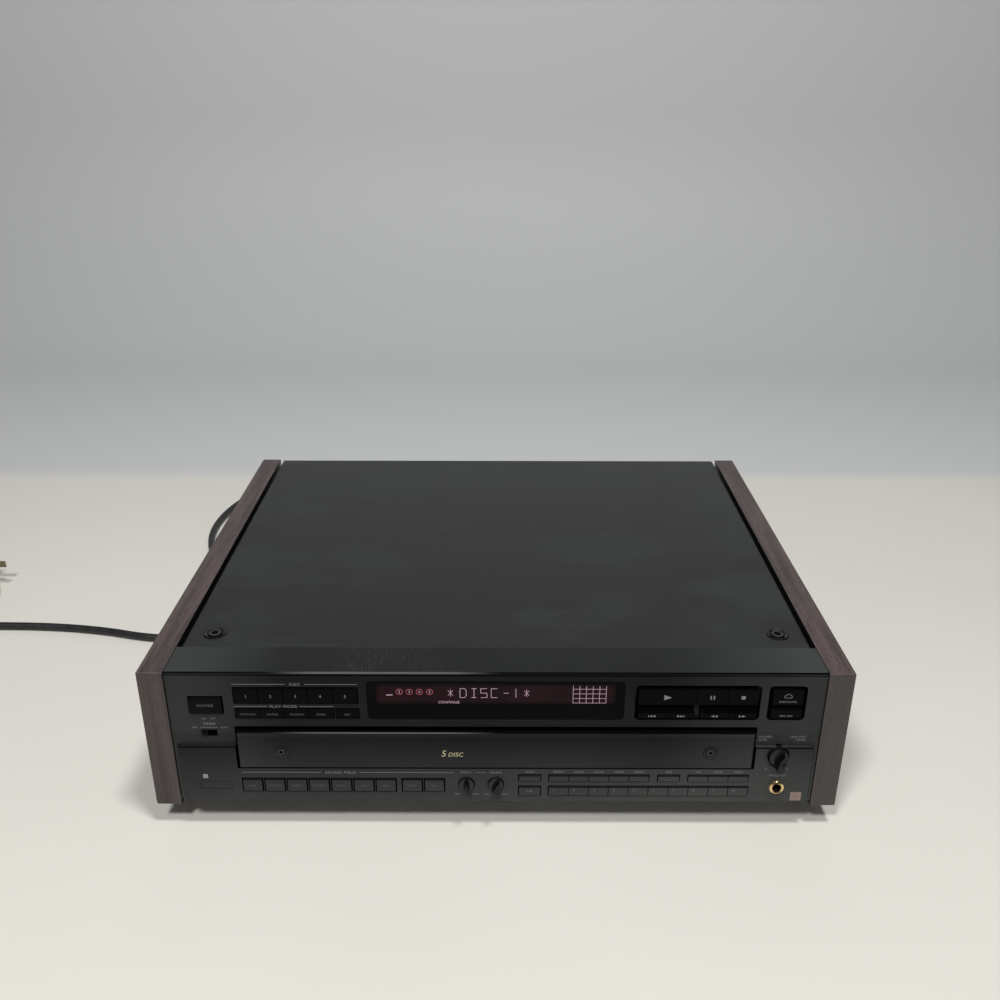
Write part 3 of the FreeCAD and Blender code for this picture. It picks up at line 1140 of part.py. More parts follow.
COIL_HALF = 7.4
COIL_H = 14.5
PLUG_Y = COIL_CENTRE[1] + 40.5
PLUG_Z = COIL_H + 7.0
PLUG_X0 = COIL_CENTRE[0] - 4.0


def route_points():
    """The cord's route in the object's frame, starting at the gland's end."""
    points = [Vector(x, FRONT + y, z) for x, y, z in CORD_ROUTE]
    points[0] = Vector(GLAND_X, REAR + GLAND_LENGTH, GLAND_Z)
    return points


def cord_tube():
    """Straight runs joined by tangent arcs, each as large as its two runs allow."""
    points = route_points()
    edges = []
    start = points[0]
    length = 0.0
    for before, corner, after in zip(points, points[1:], points[2:]):
        to_last = (before - corner).normalize()
        to_next = (after - corner).normalize()
        turn = math.pi - to_last.getAngle(to_next)
        shorter = min((before - corner).Length, (after - corner).Length)
        radius = 0.45 * shorter / math.tan(turn / 2)
        reach = 0.45 * shorter
        first = corner + to_last * reach
        second = corner + to_next * reach
        towards = (to_last + to_next).normalize()
        middle = corner + towards * (radius / math.cos(turn / 2) - radius)
        print(f"cord bend radius {radius:.1f}")
        edges.append(Part.LineSegment(start, first).toShape())
        edges.append(Part.Arc(first, middle, second).toShape())
        length += (first - start).Length + radius * turn
        start = second
    edges.append(Part.LineSegment(start, points[-1]).toShape())
    length += (points[-1] - start).Length
    path = Part.Wire(edges)
    circle = Part.Circle(points[0], points[1] - points[0], CORD_R)
    tube = path.makePipeShell([Part.Wire([circle.toShape()])], True, False)
    section = math.pi * CORD_R ** 2
    print(f"cord tube {length:.1f} mm long, volume over section {tube.Volume / section:.1f} mm")
    turns = (CORD_LENGTH - length) / (2 * math.pi * COIL_R)
    print(f"cord coil {turns:.2f} turns")
    return [tube]


def cord_gland():
    """Strain relief: a collar in the rear panel and a ribbed taper round the cord."""
    length = GLAND_LENGTH
    section = [(0, -4.0), (GLAND_R + 1.6, -4.0), (GLAND_R + 1.6, -SHEET), (GLAND_R, -SHEET), (GLAND_R, 0),
               (GLAND_R + 2.0, 0), (GLAND_R + 2.0, 2.4), (GLAND_R - 0.4, 2.4)]
    ribs = 5
    step = (length - 4.0) / ribs
    for number in range(ribs):
        y = 3.0 + step * number
        radius = GLAND_R - 0.5 - (GLAND_R - CORD_R - 1.0) * number / ribs
        section += [(radius, y + 0.6), (radius - 0.1, y + step - 1.4), (radius - 1.0, y + step - 1.2),
                    (radius - 1.0, y + step - 0.2)]
    section += [(CORD_R + 0.3, length), (0, length)]
    return [turned(section, (GLAND_X, REAR, GLAND_Z), Y_AXIS)]


def cord_coil():
    """The outer shape of the wound cord, with a lead-in at the tube's end and a tail up to the plug."""
    x, y = COIL_CENTRE
    centre = (x, FRONT + y, 0)
    low = COIL_R - COIL_HALF
    high = COIL_R + COIL_HALF
    ring = turned([(low + 3, 0.1), (high - 3, 0.1), (high, 3), (high, COIL_H - 3), (high - 3, COIL_H),
                   (low + 3, COIL_H), (low, COIL_H - 3), (low, 3)], centre)
    end = route_points()[-1]
    lead = rod(CORD_R, (end.x, end.y, end.z), Vector(-1, 0, 0), 30.0)
    plug_end = Vector(PLUG_X0, FRONT + PLUG_Y, PLUG_Z)
    root = Vector(x - 0.66 * COIL_R, FRONT + y + 0.72 * COIL_R, COIL_H - 4.5)
    tail = rod(CORD_R, tuple(root), plug_end - root, (plug_end - root).Length)
    return [join([ring, lead, tail])]


def mains_plug():
    """Moulded plug with a tapered neck, grip ribs and two flat blades, lying on the coil."""
    neck = Part.makeCone(CORD_R + 0.6, 6.0, 12.0, Vector(0, 0, 0), X_AXIS)
    body = box(12.0, 32.0, -11.0, 11.0, -7.0, 7.0)
    body = body.makeFillet(3.0, edges_where(body, lambda point: abs(abs(point.y) - 11.0) < 0.01))
    flange = box(29.0, 32.5, -12.0, 12.0, -7.0, 7.0)
    blades = [box(32.0, 49.0, y - 0.75, y + 0.75, -3.2, 3.2) for y in (-6.35, 6.35)]
    plug = join([neck, body, flange] + blades)
    plug.translate(Vector(PLUG_X0, FRONT + PLUG_Y, PLUG_Z))
    return [plug]


def main():
    os.makedirs("parts", exist_ok=True)
    save("chassis_base", chassis_base())
    save("feet", feet())
    save("rear_panel", rear_panel())
    save("rear_jacks", rear_jacks())
    save("top_cover", top_cover())
    save("left_wood_panel", wood_panel(-1))
    save("right_wood_panel", wood_panel(1))
    save("front_bezel", front_bezel())
    save("lower_fascia", lower_fascia())
    save("display_window", display_window())
    save("display_tube", display_tube())
    save("front_board", front_board())
    save("case_bolts", case_bolts())
    save("headphone_jack", headphone_jack())
    save("transformer", transformer())
    save("main_board", main_board())
    save("mechanism_frame", mechanism_frame())
    save("loading_motor", loading_motor())
    save("motor_pulley", motor_pulley())
    save("loading_belt", loading_belt())
    save("loading_gear", loading_gear())
    save("clamper_bridge", clamper_bridge())
    save("clamper_puck", clamper_puck())
    save("pickup_base", pickup_base())
    save("sled_rods", sled_rods())
    save("laser_pickup", laser_pickup())
    save("disc_turntable", disc_turntable())
    save("drawer_tray", drawer_tray())
    save("drawer_front", drawer_front())
    save("drawer_bolts", drawer_bolts())
    save("table_spindle", table_spindle())
    save("table_motor", table_motor())
    save("table_pinion", table_pinion())
    save("carousel_table", carousel_table())
    save("power_button", power_button())
    save("timer_slider", timer_slider())
    for number, key in enumerate(DISC_KEYS.keys(), 1):
        save(f"disc_key_{number}", [key])
    save("mode_keys", MODE_KEYS.keys() + EDIT_KEY.keys())
    save("sound_field_keys", FIELD_KEYS.keys() + FIELD_KEYS_RIGHT.keys())
    program = [SCAN_KEY, OVER_TEN_KEY, FUNCTION_KEYS, TITLE_KEY, FILE_KEYS, NUMBER_KEYS]
    save("program_keys", [key for row in program for key in row.keys()])
    for name, (x0, x1, z0, z1, slope) in pocket_keys().items():
        save(name, [key_cap(x0, x1, z0, z1, BEZEL_FACE - KEY_PROUD, KEY_TRAVEL, slope, SLOPE_IN if slope else 0)])
    save("level_knob", [pointer_knob(*LEVEL_KNOB)])
    for name, sizes in SMALL_KNOBS.items():
        save(name, [pointer_knob(*sizes)])
    save("cord_gland", cord_gland())
    save("cord_tube", cord_tube())
    save("cord_coil", cord_coil())
    save("mains_plug", mains_plug())


main()
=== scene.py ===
"""The looks of a carousel disc player with wood side panels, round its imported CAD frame."""
import json
import math

import bmesh
import bpy
from mathutils import Matrix, Vector


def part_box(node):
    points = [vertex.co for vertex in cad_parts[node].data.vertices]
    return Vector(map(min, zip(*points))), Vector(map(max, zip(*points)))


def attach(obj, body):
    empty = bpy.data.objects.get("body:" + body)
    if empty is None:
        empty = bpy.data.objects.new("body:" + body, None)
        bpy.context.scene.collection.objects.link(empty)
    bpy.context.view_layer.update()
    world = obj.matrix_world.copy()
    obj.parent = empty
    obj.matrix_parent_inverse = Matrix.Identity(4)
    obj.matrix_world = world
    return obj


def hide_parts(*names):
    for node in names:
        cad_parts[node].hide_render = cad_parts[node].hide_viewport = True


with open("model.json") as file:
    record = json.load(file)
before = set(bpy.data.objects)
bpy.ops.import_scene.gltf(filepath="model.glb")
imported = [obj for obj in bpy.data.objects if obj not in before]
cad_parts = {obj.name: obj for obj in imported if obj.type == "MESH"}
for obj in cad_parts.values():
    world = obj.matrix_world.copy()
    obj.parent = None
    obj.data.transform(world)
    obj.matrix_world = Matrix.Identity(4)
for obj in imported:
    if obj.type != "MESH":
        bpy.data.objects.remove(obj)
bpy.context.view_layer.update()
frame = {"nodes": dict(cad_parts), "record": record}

MM = 0.001
NODES = frame["nodes"]
SCENE = bpy.context.scene


def side(node, axis, end):
    """One side of a CAD node's box along x, y or z: the low side for end 0, and the high one for end 1."""
    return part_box(node)[end]["xyz".index(axis)]


WOOD_FRONT = side("left_wood_panel", "y", 0)
BEZEL_FACE = side("front_bezel", "y", 0)
FASCIA_FACE = side("lower_fascia", "y", 0)
DRAWER_FACE = side("drawer_front", "y", 0)
WINDOW_FACE = side("display_window", "y", 0)
REAR_FACE = side("rear_panel", "y", 1)
PROUD = 0.04 * MM          # prints stand this far before their surface


# Camera, at the photograph's viewing angle

CAMERA_PLACE = (3.0 * MM, -741.3 * MM, 488.1 * MM)
CAMERA_DOWN = math.radians(23.552)
CAMERA_TURN = math.radians(0.047)
CAMERA_ROLL = math.radians(0.097)
CAMERA_LENS = 35.98        # mm, on a 36 mm wide sensor


def make_camera():
    data = bpy.data.cameras.new("camera")
    data.lens = CAMERA_LENS
    data.sensor_width = 36.0
    data.clip_start = 0.01
    camera = bpy.data.objects.new("camera", data)
    SCENE.collection.objects.link(camera)
    tilt = Matrix.Rotation(math.pi / 2 - CAMERA_DOWN, 4, "X")
    turn = Matrix.Rotation(CAMERA_TURN, 4, "Z")
    roll = Matrix.Rotation(CAMERA_ROLL, 4, "Z")
    camera.matrix_world = Matrix.Translation(CAMERA_PLACE) @ turn @ tilt @ roll
    SCENE.camera = camera


# Mains cord: the route's points are x, y behind the wood's front, and z

CORD_D = 7.0 * MM
GLAND_X = -180.0 * MM
GLAND_Z = 46.0 * MM
GLAND_END = side("cord_gland", "y", 1)
CORD_ROUTE = [
    (-180.5, 436.0, 45.5), (-183.0, 470.0, 31.0), (-189.0, 507.0, 12.0), (-200.0, 545.0, 4.2),
    (-222.0, 583.0, 3.7), (-262.0, 601.0, 3.7), (-296.0, 584.0, 3.7), (-314.0, 546.0, 3.7),
    (-323.0, 500.0, 3.7), (-321.0, 455.0, 3.7), (-306.0, 410.0, 3.7), (-283.0, 370.0, 3.7),
    (-263.0, 330.0, 3.7), (-254.5, 297.0, 3.7), (-263.0, 263.0, 3.7), (-293.0, 240.0, 3.7),
    (-325.0, 242.7, 3.7), (-362.0, 253.5, 3.7), (-410.0, 261.0, 3.7), (-462.0, 263.0, 3.7),
    (-512.0, 262.0, 3.7),
]
COIL_CENTRE = (-545.0, 307.5)
COIL_OUTER = 45.5
COIL_INNER = 38.5
COIL_END = 3.36            # turns until the cord leaves the coil for the plug
COIL_STEPS = 16            # points in each turn
MOVE_IN = (0.85, 1.10)     # turns over which the cord passes to the inner ring
MOVE_UP = (1.65, 1.92)     # to the top layer
MOVE_OUT = (2.35, 2.60)    # back to the outer ring
RISE = (3.0, 3.4)          # up to the plug
DRAW_IN = (3.1, 3.4)       # and away from the outer ring, by the next value
DRAWN = 4.0
WAVER = 0.5                # how uneven the turns lie, and how fast that changes round the coil
WAVER_RATE = 5.1
FLOOR_LAYER = 3.7
TOP_LAYER = 10.8
PLUG_LEVEL = 21.5
PLUG_BACK = (-4.0, 40.5)   # the plug's cord end from the coil's centre


def ease(value, start, end):
    """0 before the start, 1 after the end, and smooth between them."""
    share = min(1.0, max(0.0, (value - start) / (end - start)))
    return share * share * (3 - 2 * share)


def coil_points():
    """Two turns on the floor and more on top of them, clockwise from the side that faces the front."""
    points = []
    for step in range(int(COIL_END * COIL_STEPS) + 1):
        turns = step / COIL_STEPS
        inwards = ease(turns, *MOVE_IN) - ease(turns, *MOVE_OUT)
        radius = COIL_OUTER + (COIL_INNER - COIL_OUTER) * inwards - DRAWN * ease(turns, *DRAW_IN)
        radius += WAVER * math.sin(WAVER_RATE * turns)
        height = FLOOR_LAYER + (TOP_LAYER - FLOOR_LAYER) * ease(turns, *MOVE_UP)
        height += (PLUG_LEVEL - TOP_LAYER) * ease(turns, *RISE)
        angle = -math.pi / 2 - 2 * math.pi * turns
        x = COIL_CENTRE[0] + radius * math.cos(angle)
        points.append((x, COIL_CENTRE[1] + radius * math.sin(angle), height))
    return points


def cord_points():
    """Control points of the whole cord, in metres, from the strain relief's end to the plug."""
    back_x = COIL_CENTRE[0] + PLUG_BACK[0]
    back_y = COIL_CENTRE[1] + PLUG_BACK[1]
    plug = [(back_x - 6.0, back_y, PLUG_LEVEL), (back_x + 1.0, back_y, PLUG_LEVEL)]
    route = [Vector((GLAND_X, GLAND_END, GLAND_Z))]
    for x, y, z in CORD_ROUTE + coil_points() + plug:
        route.append(Vector((x * MM, WOOD_FRONT + y * MM, z * MM)))
    return route


def make_cord(material):
    """The cord as one smooth spline that stands for the CAD tube and coil."""
    curve = bpy.data.curves.new("mains_cord", "CURVE")
    curve.dimensions = "3D"
    curve.bevel_depth = CORD_D / 2
    curve.bevel_resolution = 5
    curve.resolution_u = 8
    curve.use_fill_caps = True
    curve.materials.append(material)
    points = cord_points()
    spline = curve.splines.new("NURBS")
    spline.points.add(len(points) - 1)
    for target, point in zip(spline.points, points):
        target.co = (*point, 1.0)
    spline.order_u = 3
    spline.use_endpoint_u = True
    cord = bpy.data.objects.new("mains_cord", curve)
    SCENE.collection.objects.link(cord)
    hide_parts("cord_tube", "cord_coil")
    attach(cord, "chassis")


# Materials

def srgb(red, green, blue):
    """A colour given in the usual 0 to 255, as Blender's linear values."""
    linear = []
    for channel in (red, green, blue):
        value = channel / 255
        linear.append(value / 12.92 if value <= 0.04045 else ((value + 0.055) / 1.055) ** 2.4)
    return (*linear, 1.0)


def scaled(colour, share):
    """A colour made darker or paler by a share of itself."""
    return tuple(min(1.0, channel * share) for channel in colour[:3]) + (1.0,)


class Surface:
    """A procedural material in the making: its shader, and the textures that feed it in object space."""

    def __init__(self, name, roughness=0.5, metallic=0.0, specular=0.5):
        self.material = bpy.data.materials.new(name)
        self.material.use_nodes = True
        self.tree = self.material.node_tree
        self.shader = self.tree.nodes["Principled BSDF"]
        self.set("Roughness", roughness)
        self.set("Metallic", metallic)
        self.set("Specular IOR Level", specular)
        self.place = self.node("ShaderNodeTexCoord").outputs["Object"]

    def set(self, socket, value):
        self.shader.inputs[socket].default_value = value

    def node(self, kind, **settings):
        made = self.tree.nodes.new(kind)
        for name, value in settings.items():
            setattr(made, name, value)
        return made

    def link(self, output, target):
        """Feeds a socket. The target is a socket, or the name of one on the shader."""
        self.tree.links.new(output, self.shader.inputs[target] if isinstance(target, str) else target)

    def feed(self, socket, value):
        """Gives a socket an output or a constant."""
        if isinstance(value, (int, float, tuple)):
            socket.default_value = value
        else:
            self.link(value, socket)

    def noise(self, size, stretch=(1, 1, 1), detail=4.0, roughness=0.55):
        """Noise with features of about that size in metres, drawn out along axes with a large stretch."""
        mapping = self.node("ShaderNodeMapping")
        mapping.inputs["Scale"].default_value = [1 / (size * s) for s in stretch]
        self.link(self.place, mapping.inputs["Vector"])
        texture = self.node("ShaderNodeTexNoise")
        texture.inputs["Scale"].default_value = 1.0
        texture.inputs["Detail"].default_value = detail
        texture.inputs["Roughness"].default_value = roughness
        self.link(mapping.outputs["Vector"], texture.inputs["Vector"])
        return texture.outputs["Fac"]

    def math(self, operation, first, second=0.0):
        """A sum on outputs or numbers."""
        node = self.node("ShaderNodeMath", operation=operation)
        self.feed(node.inputs[0], first)
        self.feed(node.inputs[1], second)
        return node.outputs["Value"]

    def times(self, *shares):
        """The product of outputs or numbers."""
        product = shares[0]
        for share in shares[1:]:
            product = self.math("MULTIPLY", product, share)
        return product

    def rest(self, share):
        """What a share leaves of one."""
        return self.math("SUBTRACT", 1.0, share)

    def spread(self, source, low, high, start=0.3, end=0.7):
        """A texture's range brought to another one."""
        node = self.node("ShaderNodeMapRange", interpolation_type="SMOOTHSTEP")
        for name, value in (("From Min", start), ("From Max", end), ("To Min", low), ("To Max", high)):
            node.inputs[name].default_value = value
        self.link(source, node.inputs["Value"])
        return node.outputs["Result"]

    def above(self, source, limit, blur):
        """0 below a limit and 1 above it, with a soft edge."""
        return self.spread(source, 0.0, 1.0, limit - blur, limit + blur)

    def below(self, source, limit, blur):
        """1 below a limit and 0 above it, with a soft edge."""
        return self.rest(self.above(source, limit, blur))

    def ramp(self, source, stops):
        """Colours along a texture's range. The stops are a position and a colour each."""
        node = self.node("ShaderNodeValToRGB")
        marks = node.color_ramp.elements
        while len(marks) < len(stops):
            marks.new(0.5)
        for mark, (position, colour) in zip(marks, stops):
            mark.position = position
            mark.color = colour
        self.link(source, node.inputs["Fac"])
        return node.outputs["Color"]

    def mix(self, share, first, second):
        """The second colour over the first, by a share from 0 to 1."""
        node = self.node("ShaderNodeMix", data_type="RGBA")
        self.link(share, node.inputs["Factor"])
        self.feed(node.inputs["A"], first)
        self.feed(node.inputs["B"], second)
        return node.outputs["Result"]

    def axis(self, name):
        """One coordinate of the place in object space, in metres."""
        node = self.node("ShaderNodeSeparateXYZ")
        self.link(self.place, node.inputs["Vector"])
        return node.outputs[name]

    def facing(self):
        """The three parts of the surface's direction."""
        parts = self.node("ShaderNodeSeparateXYZ")
        self.link(self.node("ShaderNodeNewGeometry").outputs["Normal"], parts.inputs["Vector"])
        return parts.outputs

    def along(self, name, marks):
        """A value that drifts along an axis. The marks are places in millimetres, each with its value."""
        first, last = marks[0][0], marks[-1][0]
        share = self.node("ShaderNodeMapRange")
        share.inputs["From Min"].default_value = first * MM
        share.inputs["From Max"].default_value = last * MM
        self.link(self.axis(name), share.inputs["Value"])
        stops = [((place - first) / (last - first), (value, value, value, 1.0)) for place, value in marks]
        return self.ramp(share.outputs["Result"], stops)

    def bolt_rings(self, axes, centre, radius):
        """A share that is 1 inside the washers of a pair of bolts, and how far out places in them are."""
        across = self.math("SUBTRACT", self.math("ABSOLUTE", self.axis(axes[0])), centre[0])
        other = self.math("SUBTRACT", self.axis(axes[1]), centre[1])
        squares = self.math("ADD", self.times(across, across), self.times(other, other))
        distance = self.math("DIVIDE", self.math("SQRT", squares), radius)
        return self.below(distance, 1.02, 0.01), distance

    def bump(self, height, distance):
        """Relief from a texture, as deep as the distance in metres."""
        node = self.node("ShaderNodeBump")
        node.inputs["Strength"].default_value = 1.0
        node.inputs["Distance"].default_value = distance
        self.link(height, node.inputs["Height"])
        self.link(node.outputs["Normal"], "Normal")


CLOUD_SIZE = 60 * MM
CLOUD_DEPTH = 0.12         # how much darker or paler moulded pieces get in their clouds


def moulded(name, colour, roughness=0.45, grain=0.35 * MM, depth=0.012 * MM, specular=0.3):
    """Plastic or paint: a fine sprayed or moulded grain, with slight clouds in colour and gloss."""
    surface = Surface(name, roughness, specular=specular)
    clouds = surface.noise(CLOUD_SIZE, detail=3.0)
    stops = [(0.3, scaled(colour, 1 - CLOUD_DEPTH)), (0.7, scaled(colour, 1 + CLOUD_DEPTH))]
    surface.link(surface.ramp(clouds, stops), "Base Color")
    surface.link(surface.spread(clouds, roughness - 0.04, roughness + 0.05), "Roughness")
    surface.bump(surface.noise(grain, detail=2.0), depth)
    return surface.material


# Painted sheen: how much paler the cover is painted towards its back, and towards its right side

COVER_SHEEN_BACK = [(-170, 0.0), (190, 0.06)]
COVER_SHEEN_RIGHT = [(60, 0.0), (210, 0.05)]


def cover_paint():
    """Charcoal paint of the top: a fine grain, cloudy wipe marks, faint scratches and specks of dust, with
    a painted sheen that pales it towards the back and the right.
    """
    surface = Surface("cover_paint", 0.42, specular=0.46)
    clouds = surface.noise(110 * MM, detail=5.0, roughness=0.6)
    wiped = surface.noise(50 * MM, stretch=(2.4, 0.7, 1), detail=4.0)
    both = surface.math("ADD", surface.times(clouds, 0.6), surface.times(wiped, 0.4))
    # painted sheen: paler paint towards the back and the right side of the top
    painted_sheen = surface.math("ADD", surface.along("Y", COVER_SHEEN_BACK), surface.along("X", COVER_SHEEN_RIGHT))
    stops = [(0.42, srgb(3, 5, 5)), (0.52, srgb(15, 15, 14)), (0.62, srgb(31, 34, 35))]
    base = surface.ramp(surface.math("ADD", both, painted_sheen), stops)
    grit = surface.spread(surface.noise(1.5 * MM, detail=2.0), 0.0, 0.16)
    base = surface.mix(grit, base, srgb(52, 55, 54))
    specks = surface.spread(surface.noise(1.6 * MM, detail=1.0), 0.0, 0.6, 0.78, 0.80)
    surface.link(surface.mix(specks, base, srgb(84, 86, 86)), "Base Color")
    scratches = surface.noise(1.2 * MM, stretch=(60, 1, 1), detail=2.0)
    scratches = surface.spread(scratches, 0.05, 0.0, 0.3, 0.45)
    surface.link(surface.math("ADD", surface.spread(both, 0.36, 0.50), scratches), "Roughness")
    surface.bump(surface.noise(0.5 * MM, detail=3.0), 0.02 * MM)
    return surface.material


# Cup washers of the bolts, and their tones from the middle of the bolt to the washer's edge, with painted
# shade in the socket, in the groove round the head and at the washer's edge

DRAWER_WASHER_R = 5.0 * MM
TOP_WASHER_R = 8.0 * MM
# the socket, groove and edge tones are painted shade
SOCKET_SHADE = srgb(3, 3, 3)
HEAD = srgb(62, 64, 63)
GROOVE_SHADE = srgb(6, 7, 6)
RIM = srgb(52, 54, 53)
EDGE_SHADE = srgb(10, 11, 10)
RING_TONES = [(0.0, SOCKET_SHADE), (0.27, SOCKET_SHADE), (0.32, HEAD), (0.50, HEAD), (0.57, GROOVE_SHADE), (0.68, GROOVE_SHADE),
              (0.72, RIM), (0.86, RIM), (0.91, EDGE_SHADE), (1.0, EDGE_SHADE)]


# Painted reflection and light on the front, as shares of its palest colour: up its height, and what is
# added along the width

UPRIGHT_PAINTED_REFLECTION = [(0, 0.42), (25, 0.40), (45, 0.30), (64, 0.15), (75, 0.05), (78, 0.12), (123.5, 0.04),
                 (124.3, 0.14)]
UPPER_PAINTED_REFLECTION = [(-235, 0.28), (-195, 0.25), (-140, 0.02), (110, 0.02), (205, 0.31)]
LOWER_PAINTED_REFLECTION = [(-235, 0.0), (60, 0.14), (140, 0.33), (235, 0.14)]
DARKEST_TONE = srgb(4, 4, 4)
PALEST_TONE = srgb(84, 87, 86)
LEDGE = side("lower_fascia", "z", 1)
STRIP_FOOT = 120 * MM      # only the front's top strip and its bevel lie above this
HIGHLIGHT_X = -75 * MM         # the painted highlight on the front's edges is brightest here
GLOSS = "Specular IOR Level"


def scuffed(surface, base, upwards, from_highlight):
    """Pale hairlines on the top strip, near the painted highlight on its edge."""
    hairlines = surface.noise(0.7 * MM, stretch=(1, 18, 1), detail=2.0)
    hairlines = surface.spread(hairlines, 0.0, 0.24, 0.54, 0.72)
    near = surface.spread(from_highlight, 1.0, 0.0, 10 * MM, 55 * MM)
    on_strip = surface.above(upwards, 0.95, 0.02)
    return surface.mix(surface.times(hairlines, near, on_strip), base, srgb(96, 98, 98))


def bevelled(surface, base, direction, from_highlight):
    """Dull bevels where the front turns up, with painted shade on them and a painted highlight on part of
    their length.
    """
    slope = surface.times(direction["Y"], direction["Z"], -1.0)
    bevel = surface.spread(slope, 0.0, 1.0, 0.2, 0.5)
    surface.link(surface.spread(bevel, 0.08, 0.01, 0.0, 1.0), GLOSS)
    # painted highlight on the bevels, brightest near one place along the width
    painted_highlight = surface.times(bevel, surface.spread(from_highlight, 0.40, 0.0, 40 * MM, 80 * MM))
    # painted shade darkens the bevels, and the painted highlight goes over it
    return surface.mix(painted_highlight, surface.mix(bevel, base, srgb(6, 7, 7)), srgb(128, 130, 132))


def opening_walls(surface, depthwards):
    """A share that is 1 on the walls of the front's openings, below the top strip and off the ledge, where
    painted shade goes.
    """
    turned_in = surface.below(surface.math("ABSOLUTE", depthwards), 0.3, 0.1)
    under_strip = surface.below(surface.axis("Z"), STRIP_FOOT, 0.5 * MM)
    from_ledge = surface.math("ABSOLUTE", surface.math("SUBTRACT", surface.axis("Z"), LEDGE))
    return surface.times(turned_in, under_strip, surface.above(from_ledge, 0.5 * MM, 0.1 * MM))


def brushed_front(name, tones):
    """Charcoal finish, brushed along the width, with painted reflection, black painted shade on the walls
    of its openings, and rings at bolts with painted shade.
    """
    surface = Surface(name, 0.40)
    lines = surface.noise(0.22 * MM, stretch=(260, 1, 1), detail=3.0)
    clouds = surface.noise(70 * MM, detail=3.0)
    shade = surface.math("ADD", surface.times(lines, 0.55), surface.times(clouds, 0.45))
    # painted reflection and light: the front made paler and darker along its height and its width
    tone = surface.math("ADD", surface.along("Z", UPRIGHT_PAINTED_REFLECTION), surface.along("X", tones))
    tone = surface.times(tone, surface.spread(shade, 0.84, 1.18, 0.34, 0.66))
    direction = surface.facing()
    from_highlight = surface.math("ABSOLUTE", surface.math("SUBTRACT", surface.axis("X"), HIGHLIGHT_X))
    base = scuffed(surface, surface.mix(tone, DARKEST_TONE, PALEST_TONE), direction["Z"], from_highlight)
    base = bevelled(surface, base, direction, from_highlight)
    # painted shade, near black, on the walls of the openings
    base = surface.mix(opening_walls(surface, direction["Y"]), base, srgb(5, 5, 6))
    low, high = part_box("drawer_bolts")
    bolt = (high[0] - DRAWER_WASHER_R, (low[2] + high[2]) / 2)
    inside, distance = surface.bolt_rings("XZ", bolt, DRAWER_WASHER_R)
    surface.link(surface.mix(inside, base, surface.ramp(distance, RING_TONES)), "Base Color")
    surface.link(surface.spread(shade, 0.36, 0.48), "Roughness")
    surface.bump(lines, 0.008 * MM)
    return surface.material


UPPER_KEYS_FOOT = 76 * MM  # keys above this are on the upper face
RIDGE_FOOT = 4 * MM        # how far before the lower face the knobs' ridges start, which get painted shade
UPPER_KEYS_TONE = 0.15     # the upper keys' share of the painted reflection of the face round them


def front_plastic():
    """Satin plastic of the small keys and knobs, with the front's painted reflection, and black painted
    shade where it turns away from the front and on the knobs' ridges.
    """
    surface = Surface("knob_plastic", 0.42)
    upper = surface.above(surface.axis("Z"), UPPER_KEYS_FOOT, 0.5 * MM)
    # painted reflection of the face round the keys and knobs
    added = surface.mix(upper, surface.along("X", LOWER_PAINTED_REFLECTION), surface.along("X", UPPER_PAINTED_REFLECTION))
    tone = surface.math("ADD", surface.along("Z", UPRIGHT_PAINTED_REFLECTION), added)
    grain = surface.noise(0.3 * MM, detail=2.0)
    tone = surface.times(tone, surface.rest(surface.times(upper, 1 - UPPER_KEYS_TONE)))
    tone = surface.times(tone, surface.spread(grain, 0.86, 1.06))
    base = surface.mix(tone, DARKEST_TONE, PALEST_TONE)
    turned = surface.below(surface.math("ABSOLUTE", surface.facing()["Y"]), 0.92, 0.03)
    ridge = surface.below(surface.axis("Y"), FASCIA_FACE - RIDGE_FOOT, 0.2 * MM)
    # painted shade on the sides of keys and knobs, and on the knobs' ridges
    shade = surface.math("ADD", surface.times(turned, 0.85), surface.times(ridge, 0.5))
    surface.link(surface.mix(shade, base, srgb(7, 8, 9)), "Base Color")
    surface.link(surface.spread(grain, 0.38, 0.48), "Roughness")
    surface.link(surface.spread(upper, 0.10, 0.03, 0.0, 1.0), GLOSS)
    surface.bump(grain, 0.012 * MM)
    return surface.material


def plated(name, colour, roughness):
    """Plated or machined metal with fine scratches."""
    surface = Surface(name, roughness, metallic=1.0)
    marks = surface.noise(0.5 * MM, stretch=(8, 8, 1), detail=3.0)
    surface.link(surface.ramp(marks, [(0.35, scaled(colour, 0.86)), (0.65, colour)]), "Base Color")
    surface.link(surface.spread(marks, roughness - 0.04, roughness + 0.04), "Roughness")
    surface.bump(marks, 0.006 * MM)
    return surface


def bolt_black():
    """Blackened bolts and cup washers, paler on their rims, with painted shade in their sockets, in their
    grooves and round the washers' edges.
    """
    surface = plated("black_bolts", srgb(70, 71, 73), 0.34)
    low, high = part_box("case_bolts")
    bolt = (high[0] - TOP_WASHER_R, low[1] + TOP_WASHER_R)
    inside, distance = surface.bolt_rings("XY", bolt, TOP_WASHER_R)
    marks = surface.noise(0.5 * MM, stretch=(8, 8, 1), detail=3.0)
    plain = surface.ramp(marks, [(0.35, srgb(60, 61, 63)), (0.65, srgb(70, 71, 73))])
    surface.link(surface.mix(inside, plain, surface.ramp(distance, RING_TONES)), "Base Color")
    surface.set("Metallic", 0.6)
    return surface.material


